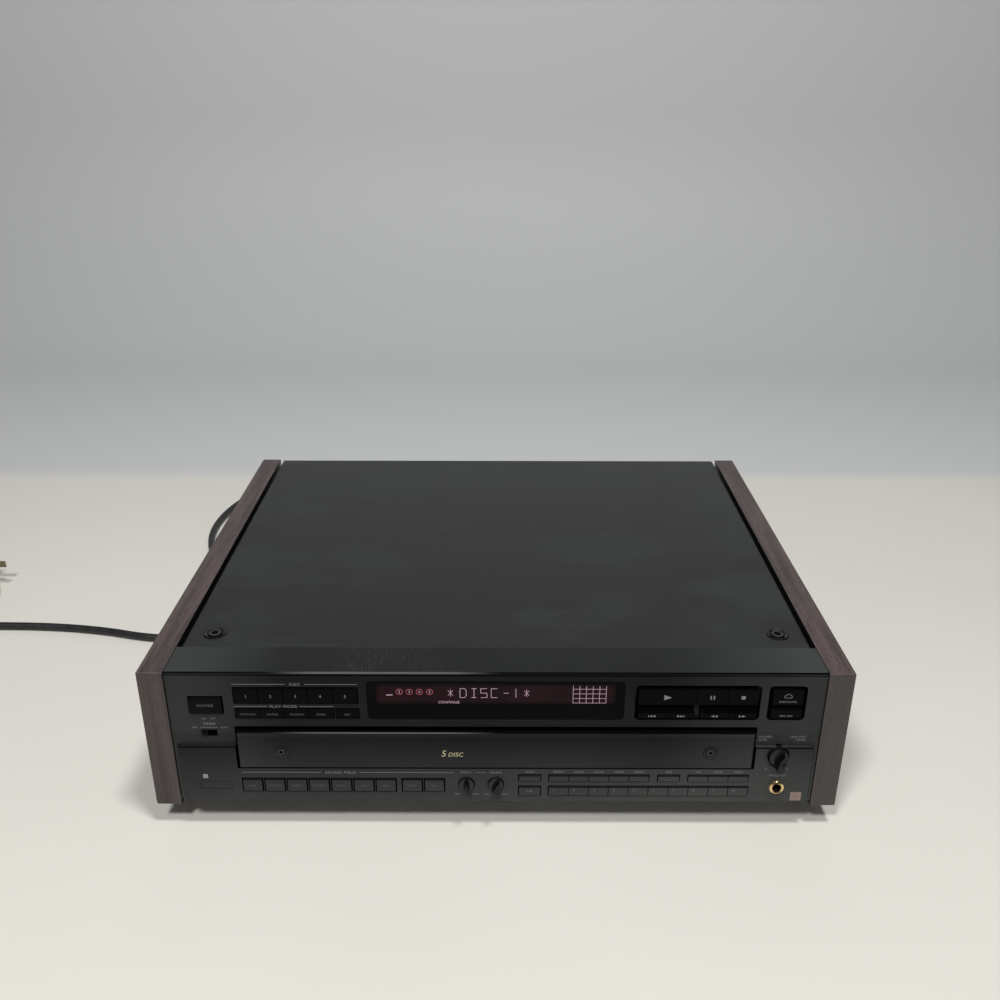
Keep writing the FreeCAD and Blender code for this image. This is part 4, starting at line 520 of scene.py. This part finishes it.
def side_wood():
    """Dark red-brown veneer, its grain upright on the front edges, with a painted sheen that greys the
    right panel's front end. Faces towards the case get black painted shade.
    """
    surface = Surface("side_wood", 0.38, specular=0.45)
    direction = surface.facing()
    end = surface.above(surface.math("ABSOLUTE", direction["Y"]), 0.7, 0.05)
    right = surface.above(surface.axis("X"), 0.0, 0.01)

    def grain(size, along, detail):
        """The same texture along the depth and upright, by which way the surface faces."""
        long = surface.noise(size, stretch=(1, along, 1), detail=detail)
        upright = surface.noise(size, stretch=(1, 1, along), detail=detail)
        return surface.math("ADD", surface.times(long, surface.rest(end)), surface.times(upright, end))
    bands = grain(5 * MM, 22, 5.0)
    fibres = grain(0.7 * MM, 60, 4.0)
    pores = surface.spread(grain(0.4 * MM, 22, 1.0), 0.0, 1.0, 0.60, 0.68)
    tone = surface.math("ADD", surface.times(bands, 0.62), surface.times(fibres, 0.38))
    stops = [(0.33, srgb(53, 43, 43)), (0.47, srgb(69, 58, 57)), (0.58, srgb(87, 74, 72)),
             (0.70, srgb(63, 52, 52))]
    # painted sheen: the right panel's front end made greyer than the left
    base = surface.mix(surface.times(end, right, 0.6), surface.ramp(tone, stops), srgb(72, 70, 69))
    base = surface.mix(surface.times(end, 0.28), base, srgb(26, 20, 21))
    veneer = surface.mix(surface.times(pores, 0.75), base, srgb(30, 19, 20))
    # painted shade: faces towards the case made near black, for the dark gap to the case
    inward = surface.times(direction["X"], surface.axis("X"), -1.0)
    surface.link(surface.mix(surface.above(inward, 0.1, 0.02), veneer, srgb(18, 19, 20)), "Base Color")
    surface.link(surface.spread(fibres, 0.34, 0.50), "Roughness")
    surface.bump(surface.math("SUBTRACT", surface.times(fibres, 0.4), pores), 0.035 * MM)
    return surface.material


RING_DEPTH = 0.6 * MM      # behind the lower face, the headphone jack is plastic


def gold_plate():
    """Gold-plated ring and jacks. The headphone jack is dark plastic behind its ring."""
    surface = plated("gold_plate", srgb(226, 182, 112), 0.22)
    inside = surface.above(surface.axis("Y"), FASCIA_FACE + RING_DEPTH, 0.05 * MM)
    dark = surface.times(inside, surface.below(surface.axis("Y"), 0.0, 0.01))
    stops = [(0.35, srgb(224, 188, 136)), (0.65, srgb(246, 218, 170))]
    gold = surface.ramp(surface.noise(0.5 * MM, detail=3.0), stops)
    surface.link(surface.mix(dark, gold, srgb(14, 14, 15)), "Base Color")
    surface.link(surface.rest(dark), "Metallic")
    return surface.material


# The lit zone of the display, seen through the lens

GLOW_LEFT, GLOW_RIGHT = -78.0 * MM, 78.0 * MM
GLOW_FOOT, GLOW_TOP = 101.4 * MM, 115.0 * MM
GLOW_BLUR = 2.0 * MM
GLOW_STOPS = [(0.0, srgb(96, 44, 54)), (0.5, srgb(84, 48, 58)), (1.0, srgb(92, 46, 54))]


def smoked_lens():
    """Smoked gloss lens. The lit zone of the display behind it glows through, dim and reddish."""
    surface = Surface("smoked_lens", 0.14, specular=0.05)
    x, z = surface.axis("X"), surface.axis("Z")
    across = surface.times(surface.above(x, GLOW_LEFT, GLOW_BLUR), surface.below(x, GLOW_RIGHT, GLOW_BLUR))
    upright = surface.times(surface.above(z, GLOW_FOOT, GLOW_BLUR), surface.below(z, GLOW_TOP, GLOW_BLUR))
    uneven = surface.spread(surface.noise(25 * MM, detail=2.0), 0.7, 1.1)
    zone = surface.times(across, upright, uneven)
    surface.link(surface.mix(zone, srgb(4, 4, 5), srgb(20, 15, 17)), "Base Color")
    glow = surface.ramp(surface.spread(x, 0.0, 1.0, -80 * MM, 80 * MM), GLOW_STOPS)
    surface.link(surface.mix(zone, (0.0, 0.0, 0.0, 1.0), glow), "Emission Color")
    surface.set("Emission Strength", 0.11)
    surface.bump(surface.noise(40 * MM, detail=1.0), 0.01 * MM)
    return surface.material


def lit(name, colour, strength):
    """A glowing segment of the display, with slight unevenness."""
    surface = Surface(name, 0.5)
    surface.set("Base Color", srgb(20, 16, 18))
    uneven = surface.noise(1.2 * MM, detail=1.0)
    surface.link(surface.ramp(uneven, [(0.35, scaled(colour, 0.78)), (0.65, colour)]), "Emission Color")
    surface.set("Emission Strength", strength)
    return surface.material


def ink(name, colour):
    """Screen-printed ink, thin and slightly broken."""
    surface = Surface(name, 0.6, specular=0.2)
    worn = surface.noise(0.35 * MM, detail=2.0)
    surface.link(surface.ramp(worn, [(0.32, scaled(colour, 0.74)), (0.62, colour)]), "Base Color")
    return surface.material


RUBBER_RING_TOP = 2.5 * MM


def feet_plastic():
    """Black moulded feet, with a softer rubber ring that carries them."""
    surface = Surface("foot_plastic", 0.5)
    body = surface.above(surface.axis("Z"), RUBBER_RING_TOP, 0.05 * MM)
    grain = surface.noise(0.6 * MM, detail=3.0)
    shade = surface.ramp(grain, [(0.3, srgb(24, 24, 25)), (0.7, srgb(33, 33, 34))])
    surface.link(surface.mix(body, srgb(44, 43, 42), shade), "Base Color")
    surface.link(surface.math("SUBTRACT", 0.85, surface.times(body, 0.4)), "Roughness")
    surface.bump(grain, 0.02 * MM)
    return surface.material


def laminate():
    """Board laminate with green solder mask in blotches of copper fill."""
    surface = Surface("board_laminate", 0.42)
    fill = surface.spread(surface.noise(6 * MM, detail=2.0), 0.0, 1.0, 0.46, 0.5)
    surface.link(surface.mix(fill, srgb(112, 90, 52), srgb(58, 74, 44)), "Base Color")
    surface.bump(fill, 0.03 * MM)
    return surface.material


BLADE_REACH = 17.0 * MM    # of the plug's blades, from its body
BLADE_LEVEL = 15.5 * MM    # the blades lie above this, over the coil
COIL_SIDE = -0.47          # the coil and the plug lie left of this


def cord_vinyl():
    """Black vinyl with slight scuffs; the plug's blades are plated metal."""
    surface = Surface("cord_rubber", 0.46)
    scuffs = surface.noise(7 * MM, detail=5.0)
    skin = surface.ramp(scuffs, [(0.35, srgb(20, 20, 21)), (0.65, srgb(31, 31, 33))])
    x = surface.axis("X")
    blades = surface.above(x, side("mains_plug", "x", 1) - BLADE_REACH, 0.05 * MM)
    metal = surface.times(blades, surface.below(x, COIL_SIDE, 1 * MM),
                          surface.above(surface.axis("Z"), BLADE_LEVEL, 0.2 * MM))
    surface.link(surface.mix(metal, skin, srgb(206, 196, 170)), "Base Color")
    surface.link(metal, "Metallic")
    surface.link(surface.spread(scuffs, 0.40, 0.56), "Roughness")
    surface.bump(surface.noise(0.5 * MM, detail=2.0), 0.01 * MM)
    return surface.material


def make_finishes():
    """Every slot of the record with its material."""
    return {
        "cover_paint": cover_paint(),
        "zinc_steel": plated("zinc_steel", srgb(186, 188, 190), 0.36).material,
        "rear_paint": moulded("rear_paint", srgb(33, 33, 34), 0.48),
        "side_wood": side_wood(),
        "bezel_finish": brushed_front("bezel_finish", UPPER_PAINTED_REFLECTION),
        "fascia_finish": brushed_front("fascia_finish", LOWER_PAINTED_REFLECTION),
        "smoked_lens": smoked_lens(),
        "tube_glass": moulded("tube_glass", srgb(52, 44, 46), 0.15, specular=0.5),
        "board_laminate": laminate(),
        "black_bolts": bolt_black(),
        "gold_plate": gold_plate(),
        "foot_plastic": feet_plastic(),
        "mechanism_plastic": moulded("mechanism_plastic", srgb(38, 38, 40), 0.5),
        "table_plastic": moulded("table_plastic", srgb(34, 34, 36), 0.46, grain=0.5 * MM, depth=0.02 * MM),
        "gear_plastic": moulded("gear_plastic", srgb(222, 218, 206), 0.4, specular=0.5),
        "motor_steel": plated("motor_steel", srgb(180, 180, 182), 0.3).material,
        "pickup_metal": plated("pickup_metal", srgb(150, 151, 154), 0.42).material,
        "belt_rubber": moulded("belt_rubber", srgb(24, 24, 24), 0.7),
        "cord_rubber": cord_vinyl(),
        "key_plastic": moulded("key_plastic", srgb(3, 4, 5), 0.34, grain=0.3 * MM, specular=0.05),
        "knob_plastic": front_plastic(),
    }


def paint(finishes):
    """Gives each CAD node the material of its slot."""
    for part in frame["record"]["subparts"]:
        node = NODES[part["node"]]
        node.data.materials.clear()
        node.data.materials.append(finishes[part["material_slot"]])


# Prints, segments and other flat marks. Each is drawn in X and Z in millimetres.

CAPITALS = 0.70            # their height as a share of the font's size


def mesh_data(name, mesh):
    """A finished bmesh as mesh data."""
    data = bpy.data.meshes.new(name)
    mesh.to_mesh(data)
    mesh.free()
    return data


def flat_marks(name, polygons, y, body, material):
    """Thin flat shapes that face the front, as one object on a body."""
    mesh = bmesh.new()
    for polygon in polygons:
        corners = [mesh.verts.new((x * MM, y, z * MM)) for x, z in polygon]
        face = mesh.faces.new(corners)
        face.normal_update()
        if face.normal.y > 0:
            face.normal_flip()
    place(name, mesh_data(name, mesh), body, material)


def place(name, data, body, material, where=(0, 0, 0), turn=(0, 0, 0)):
    """An object on a body, with its material."""
    made = bpy.data.objects.new(name, data)
    SCENE.collection.objects.link(made)
    made.location = where
    made.rotation_euler = turn
    bpy.context.view_layer.update()
    data.materials.append(material)
    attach(made, body)


def bar(x0, x1, z0, z1):
    """An upright rectangle."""
    return [(x0, z0), (x1, z0), (x1, z1), (x0, z1)]


def stroke(start, end, width):
    """A straight bar between two points."""
    dx, dz = end[0] - start[0], end[1] - start[1]
    reach = math.hypot(dx, dz)
    nx, nz = -dz / reach * width / 2, dx / reach * width / 2
    return [(start[0] + nx, start[1] + nz), (end[0] + nx, end[1] + nz), (end[0] - nx, end[1] - nz),
            (start[0] - nx, start[1] - nz)]


def frame_bars(x0, x1, z0, z1, width):
    """The four sides of a rectangle."""
    return [bar(x0, x1, z0, z0 + width), bar(x0, x1, z1 - width, z1),
            bar(x0, x0 + width, z0 + width, z1 - width), bar(x1 - width, x1, z0 + width, z1 - width)]


def ring_bars(x, z, radius, width, steps=24):
    """A ring out of short bars."""
    points = []
    for step in range(steps + 1):
        angle = 2 * math.pi * step / steps
        points.append((x + radius * math.cos(angle), z + radius * math.sin(angle)))
    return [stroke(a, b, width) for a, b in zip(points, points[1:])]


def word(name, text, x, z, size, y, body, material, align="CENTER", spacing=1.0, slant=0.0):
    """A word or number that faces the front, at a height of capitals in millimetres."""
    data = bpy.data.curves.new(name, "FONT")
    data.body = text
    data.size = size * MM / CAPITALS
    data.align_x = align
    data.space_character = spacing
    data.shear = slant
    data.resolution_u = 3
    place(name, data, body, material, (x * MM, y, z * MM), (math.pi / 2, 0, 0))


# Places on the front, in millimetres, as the CAD has them

FIELD_X0 = -173.5
FIELD_PITCH = 15.17
FIELD_RIGHT_X0 = -64.6
KEY_PITCH = 13.64
FUNCTION_X0 = 36.0
FILE_X0 = 130.8
MODE_X0 = -173.0
MODE_PITCH = 16.35
EDIT_X = -98.5
LEVEL_X = 190.6
EFFECT_X = -20.0
REVERB_X = 0.0
JACK_X = 191.7
DISC_NUMBERS_Z = 105.2     # the feet of the prints on each row of keys
TOP_SYMBOLS_Z = 106.0
LOW_SYMBOLS_Z = 91.3
MODE_NAMES_Z = 91.4
SMALL_NAMES_Z = 47.0
FIELD_NAMES_Z = 35.4
NUMBERS_Z = 32.0
HEADER_LINE = 0.35         # thickness of the lines over groups of keys
TINY = 1.4                 # heights of capitals
SMALL = 1.5
MEDIUM = 1.7


def header(name, x0, x1, z, text, gap, y, body, material):
    """A thin line over a group of keys, broken in its middle by the group's name."""
    middle = (gap[0] + gap[1]) / 2
    line = [bar(x0, gap[0], z, z + HEADER_LINE), bar(gap[1], x1, z, z + HEADER_LINE)]
    flat_marks(name + "_line", line, y, body, material)
    word(name + "_name", text, middle, z - 0.9, 2.1, y, body, material, spacing=1.15)


def upper_prints(pale):
    """Names and lines on the upper face."""
    y = BEZEL_FACE - PROUD
    header("disc_header", -173.6, -91.1, 115.2, "DISC", (-138.5, -125.5), y, "chassis", pale)
    header("mode_header", -173.7, -107.6, 97.8, "PLAY MODE", (-151.5, -130.0), y, "chassis", pale)
    word("power_states", "ON    OFF", -191.5, 87.6, SMALL, y, "chassis", pale)
    word("timer_name", "TIMER", -191.5, 83.0, 2.0, y, "chassis", pale, spacing=1.1)
    word("timer_off", "OFF", -201.5, 80.4, TINY, y, "chassis", pale)
    word("timer_play", "PLAY", -181.8, 80.4, TINY, y, "chassis", pale)
    flat_marks("timer_line", [bar(-198.0, -186.0, 81.0, 81.3)], y, "chassis", pale)
    word("phones_level_name", "PHONES\nLEVEL", 176.6, 73.6, MEDIUM, y, "chassis", pale, align="LEFT")
    word("line_level_name", "LINE OUT\nLEVEL", 208.5, 73.6, MEDIUM, y, "chassis", pale, align="RIGHT")


def lower_prints(pale):
    """Names, lines and numbers on the lower face."""
    y = FASCIA_FACE - PROUD
    header("field_header", -172.3, -28.1, 46.7, "SOUND FIELD", (-118.5, -92.5), y, "chassis", pale)
    word("effect_name", "EFFECT", EFFECT_X, 46.2, MEDIUM, y, "chassis", pale)
    word("reverb_name", "REVERB", REVERB_X, 46.2, MEDIUM, y, "chassis", pale)
    flat_marks("reverb_line", [bar(-14.0, -6.5, 46.9, 47.2)], y, "chassis", pale)
    for name, x in (("effect", EFFECT_X), ("reverb", REVERB_X)):
        word(name + "_min", "MIN", x - 6.0, 28.0, TINY, y, "chassis", pale)
        word(name + "_max", "MAX", x + 6.4, 28.0, TINY, y, "chassis", pale)
    for number, text in enumerate(["REPEAT", "CHECK", "CLEAR", "FADER", "INDEX"]):
        x = FUNCTION_X0 + KEY_PITCH * (number + 0.5)
        word(f"function_name_{number + 1}", text, x, SMALL_NAMES_Z, SMALL, y, "chassis", pale)
    for number, text in enumerate(["FILE", "ERASE", "MEMO"]):
        x = FILE_X0 + KEY_PITCH * (number + 0.5)
        word(f"file_name_{number + 1}", text, x, SMALL_NAMES_Z, SMALL, y, "chassis", pale)
    word("scan_name", "SCAN", 23.1, SMALL_NAMES_Z, SMALL, y, "chassis", pale)
    word("time_name", "TIME", 117.6, SMALL_NAMES_Z, SMALL, y, "chassis", pale)
    word("phones_name", "PHONES", JACK_X, 44.2, 2.0, y, "chassis", pale, spacing=1.15)
    word("level_low", "0", LEVEL_X - 7.4, 49.6, 1.6, y, "chassis", pale)
    word("level_high", "10", LEVEL_X + 6.6, 49.6, 1.6, y, "chassis", pale)


def trim_marks(dark, silver, beige):
    """Outline of the remote control's window, the light square over it and the blank badge at the right."""
    y = FASCIA_FACE - PROUD
    flat_marks("remote_outline", frame_bars(-202.2, -180.2, 32.9, 39.7, 0.4), y, "chassis", dark)
    flat_marks("remote_square", [bar(-199.3, -195.9, 41.8, 45.2)], y, "chassis", silver)
    flat_marks("badge", [bar(202.0, 209.6, 23.8, 31.0)], y, "chassis", beige)
    flat_marks("badge_border", frame_bars(202.9, 208.7, 24.6, 30.2, 0.3), y - PROUD, "chassis", silver)


def key_prints(pale, dim):
    """Numbers, symbols and names on the keys. Each mark moves with its key."""
    for number in range(1, 6):
        node = f"disc_key_{number}"
        low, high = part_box(node)
        x = (low[0] + high[0]) / 2 / MM
        y = low[1] - PROUD
        word(f"disc_number_{number}", str(number), x, DISC_NUMBERS_Z, 2.2, y, f"disc_{number}", pale)
    y = side("mode_keys", "y", 0) - PROUD
    for number, text in enumerate(["CONTINUE", "SHUFFLE", "PROGRAM", "REPEAT"]):
        x = MODE_X0 + MODE_PITCH * (number + 0.5)
        word(f"mode_name_{number + 1}", text, x, MODE_NAMES_Z, TINY, y, "mode", dim)
    word("edit_name", "EDIT", EDIT_X, MODE_NAMES_Z, TINY, y, "mode", dim)
    y = side("sound_field_keys", "y", 0) - PROUD
    fields = ["HALL", "CHURCH", "ARENA", "STADIUM", "DISCO", "LIVE", "BASS"]
    for number, text in enumerate(fields):
        x = FIELD_X0 + FIELD_PITCH * (number + 0.5)
        word(f"field_name_{number + 1}", text, x, FIELD_NAMES_Z, SMALL, y, "sound_field", dim)
    for number, text in enumerate(["FLAT", "FILE"]):
        x = FIELD_RIGHT_X0 + FIELD_PITCH * (number + 0.5)
        word(f"field_name_{number + 8}", text, x, FIELD_NAMES_Z, 1.6, y, "sound_field", dim)
    y = side("program_keys", "y", 0) - PROUD
    for number in range(1, 11):
        x = FUNCTION_X0 + KEY_PITCH * (number - 0.72)
        word(f"number_{number}", str(number), x, NUMBERS_Z, MEDIUM, y, "program", pale)
    word("number_over_ten", ">10", 23.0, 31.0, MEDIUM, y, "program", pale)
    y = side("power_button", "y", 0) - PROUD
    word("power_name", "POWER", -192.1, 98.4, 2.1, y, "power", dim, spacing=1.1)


def arrow(x, z, reach, rise, way):
    """A triangle that points right for way 1 and left for way -1. The rise is half its height."""
    return [(x, z - rise), (x + way * reach, z), (x, z + rise)]


def transport_prints(pale):
    """Symbols on the transport keys."""
    def on(node, body, polygons):
        """The symbol of one key."""
        flat_marks(node + "_symbol", polygons, side(node, "y", 0) - PROUD, body, pale)

    def middle(node):
        """The middle of a key, in millimetres."""
        return (side(node, "x", 0) + side(node, "x", 1)) / 2 / MM
    z = TOP_SYMBOLS_Z
    on("play_key", "play", [arrow(middle("play_key") - 2.4, z, 5.2, 2.0, 1)])
    x = middle("pause_key")
    pause_bars = [bar(x - 1.5, x - 0.6, z - 1.5, z + 1.5), bar(x + 0.6, x + 1.5, z - 1.5, z + 1.5)]
    on("pause_key", "pause", pause_bars)
    x = middle("stop_key")
    on("stop_key", "stop", [bar(x - 1.4, x + 1.4, z - 1.3, z + 1.3)])
    z = LOW_SYMBOLS_Z
    x = middle("previous_key")
    on("previous_key", "previous", [bar(x - 2.6, x - 2.2, z - 0.9, z + 0.9), arrow(x, z, 2.1, 0.9, -1),
                                    arrow(x + 2.2, z, 2.1, 0.9, -1)])
    x = middle("next_key")
    on("next_key", "next", [bar(x + 2.2, x + 2.6, z - 0.9, z + 0.9), arrow(x, z, 2.1, 0.9, 1),
                            arrow(x - 2.2, z, 2.1, 0.9, 1)])
    x = middle("rewind_key")
    on("rewind_key", "rewind", [arrow(x + 0.1, z, 2.2, 0.9, -1), arrow(x + 2.4, z, 2.2, 0.9, -1)])
    x = middle("forward_key")
    on("forward_key", "forward", [arrow(x - 0.1, z, 2.2, 0.9, 1), arrow(x - 2.4, z, 2.2, 0.9, 1)])
    x = middle("open_close_key")
    z = TOP_SYMBOLS_Z
    outline = [(x - 2.4, z), (x - 2.4, z + 1.4), (x, z + 3.2), (x + 2.4, z + 1.4), (x + 2.4, z)]
    walls = [stroke(a, b, 0.35) for a, b in zip(outline, outline[1:] + outline[:1])]
    on("open_close_key", "open_close", walls)
    y = side("open_close_key", "y", 0) - PROUD
    word("open_close_name", "OPEN/CLOSE", x, 102.2, TINY, y, "open_close", pale)
    y = side("disc_skip_key", "y", 0) - PROUD
    word("disc_skip_name", "DISC SKIP", x, 91.0, TINY, y, "disc_skip", pale)


# Display: letters as strokes, each drawn in a box of one by one

STROKES = {
    "D": [((0, 0), (0, 1)), ((0, 1), (0.75, 1)), ((0.75, 1), (1, 0.8)), ((1, 0.8), (1, 0.2)),
          ((1, 0.2), (0.75, 0)), ((0.75, 0), (0, 0))],
    "I": [((0.5, 0), (0.5, 1)), ((0.1, 0), (0.9, 0)), ((0.1, 1), (0.9, 1))],
    "S": [((1, 1), (0, 1)), ((0, 1), (0, 0.5)), ((0, 0.5), (1, 0.5)), ((1, 0.5), (1, 0)), ((1, 0), (0, 0))],
    "C": [((1, 1), (0, 1)), ((0, 1), (0, 0)), ((0, 0), (1, 0))],
    "-": [((0.1, 0.5), (0.9, 0.5))],
    "1": [((0.5, 0), (0.5, 1))],
    "*": [((0.5, 0.1), (0.5, 0.9)), ((0.1, 0.22), (0.9, 0.78)), ((0.1, 0.78), (0.9, 0.22))],
}
DISPLAY_TEXT = [("*", -31.9), ("D", -23.6), ("I", -16.4), ("S", -9.9), ("C", -3.0), ("-", 4.8), ("1", 11.2),
                ("*", 18.3)]
DISPLAY_FOOT = 105.4
DISPLAY_W = 4.1
DISPLAY_H = 7.0
STROKE = 0.34
FINE_STROKE = 0.28
CALENDAR_X = 50.9
CALENDAR_Z = 101.3
CALENDAR_PITCH_X = 4.36
CALENDAR_PITCH_Z = 3.6
RINGS_X = (-63.5, -56.9, -50.3, -43.6)


def display_marks(pink, red):
    """What the display shows: the disc in play, the rings of the loaded discs and the track calendar."""
    y = WINDOW_FACE - PROUD
    polygons = []
    for letter, x in DISPLAY_TEXT:
        width = FINE_STROKE if letter == "*" else STROKE
        for start, end in STROKES[letter]:
            low = (x + start[0] * DISPLAY_W, DISPLAY_FOOT + start[1] * DISPLAY_H)
            high = (x + end[0] * DISPLAY_W, DISPLAY_FOOT + end[1] * DISPLAY_H)
            polygons.append(stroke(low, high, width))
    flat_marks("display_text", polygons, y, "chassis", pink)
    half = FINE_STROKE / 2
    columns = [CALENDAR_X + CALENDAR_PITCH_X * step for step in range(6)]
    rows = [CALENDAR_Z + CALENDAR_PITCH_Z * step for step in range(4)]
    calendar = [bar(x - half, x + half, 101.1, 114.6) for x in columns]
    calendar += [bar(columns[0], columns[-1], z - half, z + half) for z in rows]
    flat_marks("display_calendar", calendar, y, "chassis", pink)
    flat_marks("display_dash", [bar(-72.2, -68.0, 107.0, 107.6)], y, "chassis", pink)
    word("display_mode", "CONTINUE", -31.0, 100.8, 1.9, y, "chassis", pink)
    for number, x in enumerate(RINGS_X, 2):
        flat_marks(f"display_ring_{number}", ring_bars(x, 109.8, 2.1, 0.34), y, "chassis", red)
        word(f"display_disc_{number}", str(number), x, 108.8, 2.0, y, "chassis", pink)


def drawer_prints(cream):
    """The only print on the drawer: how many discs it takes."""
    y = DRAWER_FACE - PROUD
    word("disc_count", "5", -35.3, 60.3, 5.0, y, "drawer", cream, slant=0.2)
    word("disc_count_name", "DISC", -27.2, 60.3, 3.3, y, "drawer", cream, slant=0.2)


def lathe(name, section, centre, material, body, steps=40):
    """A turned piece round a line along Y. The section is radius and depth in millimetres."""
    mesh = bmesh.new()
    rings = []
    for step in range(steps):
        angle = 2 * math.pi * step / steps
        ring = []
        for radius, depth in section:
            x = centre[0] + radius * MM * math.cos(angle)
            z = centre[2] + radius * MM * math.sin(angle)
            ring.append(mesh.verts.new((x, centre[1] + depth * MM, z)))
        rings.append(ring)
    for here, there in zip(rings, rings[1:] + rings[:1]):
        for number in range(len(section)):
            after = (number + 1) % len(section)
            mesh.faces.new((here[number], here[after], there[after], there[number]))
    bmesh.ops.recalc_face_normals(mesh, faces=mesh.faces)
    place(name, mesh_data(name, mesh), body, material)


JACK_COLUMNS = (120.0, 138.0)
JACK_ROWS = {50.0: "right", 69.0: "left"}
INSULATOR = [(1.75, 2.2), (3.1, 2.2), (3.1, 8.9), (2.7, 9.3), (1.75, 9.3)]


def jack_rings(red, white):
    """Coloured insulators round the middle of the rear jacks."""
    for column, x in enumerate(JACK_COLUMNS, 1):
        for z, channel in JACK_ROWS.items():
            material = white if channel == "left" else red
            name = f"jack_insulator_{channel}_{column}"
            lathe(name, INSULATOR, (x * MM, REAR_FACE, z * MM), material, "chassis")


TIE_HALF_R = 7.4           # the tie's inside, across the two rings and up through the layers of the coil
TIE_HALF_H = 7.1
TIE_WALL = 0.6
TIE_HALF_W = 2.5
TIE_STEPS = 32
TIE_ROUNDNESS = 0.55       # 1 for an ellipse, and less for fuller corners


def coil_tie(material):
    """The wrapped wire tie that holds the coil together, at the side away from the plug."""
    mesh = bmesh.new()
    middle_y = COIL_CENTRE[1] - (COIL_OUTER + COIL_INNER) / 2
    middle_z = (FLOOR_LAYER + TOP_LAYER) / 2
    profile = []
    for step in range(TIE_STEPS):
        angle = 2 * math.pi * step / TIE_STEPS
        cos, sin = math.cos(angle), math.sin(angle)
        r = TIE_HALF_R * math.copysign(abs(cos) ** TIE_ROUNDNESS, cos)
        z = TIE_HALF_H * math.copysign(abs(sin) ** TIE_ROUNDNESS, sin)
        profile.append((r, z))
    loops = []
    for x, wall in ((-TIE_HALF_W, 0), (-TIE_HALF_W, TIE_WALL), (TIE_HALF_W, TIE_WALL), (TIE_HALF_W, 0)):
        loop = []
        for r, z in profile:
            outwards = math.copysign(wall, r) if abs(r) > TIE_HALF_R / 2 else 0.0
            y = WOOD_FRONT + (middle_y + r + outwards) * MM
            z = max(middle_z + z * (1 + wall / TIE_HALF_H), 0.05)
            loop.append(mesh.verts.new(((COIL_CENTRE[0] + x) * MM, y, z * MM)))
        loops.append(loop)
    for here, there in zip(loops, loops[1:] + loops[:1]):
        for number in range(TIE_STEPS):
            after = (number + 1) % TIE_STEPS
            mesh.faces.new((here[number], here[after], there[after], there[number]))
    bmesh.ops.recalc_face_normals(mesh, faces=mesh.faces)
    place("coil_tie", mesh_data("coil_tie", mesh), "chassis", material)


# Room and light, in metres

ROOM_HALF_WIDTH = 4.0
TABLE_FRONT = -2.6
TABLE_BACK = 0.46          # where the table's colour ends and the wall's starts
BEND_BACK = 0.95
BEND_STEPS = 16
WALL_BACK = 1.35
WALL_HEIGHT = 2.6


def backdrop():
    """A pale table top that curves up into a light grey wall."""
    radius = WALL_BACK - BEND_BACK
    path = [(TABLE_FRONT, 0.0), (BEND_BACK, 0.0)]
    for step in range(1, BEND_STEPS + 1):
        angle = math.pi / 2 * step / BEND_STEPS
        path.append((BEND_BACK + radius * math.sin(angle), radius * (1 - math.cos(angle))))
    path.append((WALL_BACK, WALL_HEIGHT))
    mesh = bmesh.new()
    edges = [[mesh.verts.new((x, y, z)) for y, z in path] for x in (-ROOM_HALF_WIDTH, ROOM_HALF_WIDTH)]
    for number in range(len(path) - 1):
        mesh.faces.new((edges[0][number], edges[1][number], edges[1][number + 1], edges[0][number + 1]))
    data = mesh_data("backdrop", mesh)
    for face in data.polygons:
        face.use_smooth = True
    made = bpy.data.objects.new("backdrop", data)
    SCENE.collection.objects.link(made)
    surface = Surface("backdrop", 0.6)
    fade = surface.above(surface.axis("Y"), TABLE_BACK, 0.02)
    cloud = surface.noise(0.5, detail=3.0)
    pale = surface.ramp(cloud, [(0.3, srgb(217, 214, 206)), (0.7, srgb(223, 220, 212))])
    surface.link(surface.mix(fade, pale, srgb(206, 207, 207)), "Base Color")
    surface.bump(surface.noise(2 * MM, detail=3.0), 0.02 * MM)
    data.materials.append(surface.material)


LAMP_AIM = (0, -0.1, 0)
LAMP_SIZE = (0.32, 0.28)


def lamp(name, place_at, power):
    """A soft lamp that looks at the object."""
    data = bpy.data.lights.new(name, "AREA")
    data.shape = "RECTANGLE"
    data.size, data.size_y = LAMP_SIZE
    data.energy = power
    made = bpy.data.objects.new(name, data)
    SCENE.collection.objects.link(made)
    made.location = place_at
    made.rotation_euler = (Vector(LAMP_AIM) - Vector(place_at)).to_track_quat("-Z", "Y").to_euler()


def light_room():
    """Two soft lamps, steep over the front and less steep from its left, and a pale surround."""
    lamp("front_left", (-0.45, -1.27, 1.80), 25.4)
    lamp("overhead", (0.35, -0.66, 2.10), 24.8)
    world = bpy.data.worlds.new("studio")
    SCENE.world = world
    world.use_nodes = True
    background = world.node_tree.nodes["Background"]
    background.inputs["Color"].default_value = (0.80, 0.82, 0.84, 1.0)
    background.inputs["Strength"].default_value = 0.09


def main():
    make_camera()
    finishes = make_finishes()
    make_cord(finishes["cord_rubber"])
    paint(finishes)
    pale = ink("pale_ink", srgb(132, 134, 134))
    cream = ink("cream_ink", srgb(206, 194, 160))
    silver = ink("silver_ink", srgb(150, 152, 152))
    beige = ink("beige_plate", srgb(150, 128, 116))
    dark = ink("dark_line", srgb(8, 9, 9))
    upper_prints(pale)
    lower_prints(pale)
    trim_marks(dark, silver, beige)
    key_prints(pale, ink("dim_ink", srgb(96, 98, 98)))
    transport_prints(pale)
    drawer_prints(cream)
    pink = lit("display_pink", srgb(236, 198, 214), 0.7)
    display_marks(pink, lit("display_red", srgb(222, 104, 122), 0.6))
    red = moulded("insulator_red", srgb(150, 34, 30))
    jack_rings(red, moulded("insulator_white", srgb(214, 212, 206)))
    coil_tie(moulded("tie_vinyl", srgb(28, 28, 29), 0.4))
    backdrop()
    light_room()
    SCENE.view_settings.view_transform = "Standard"


main()
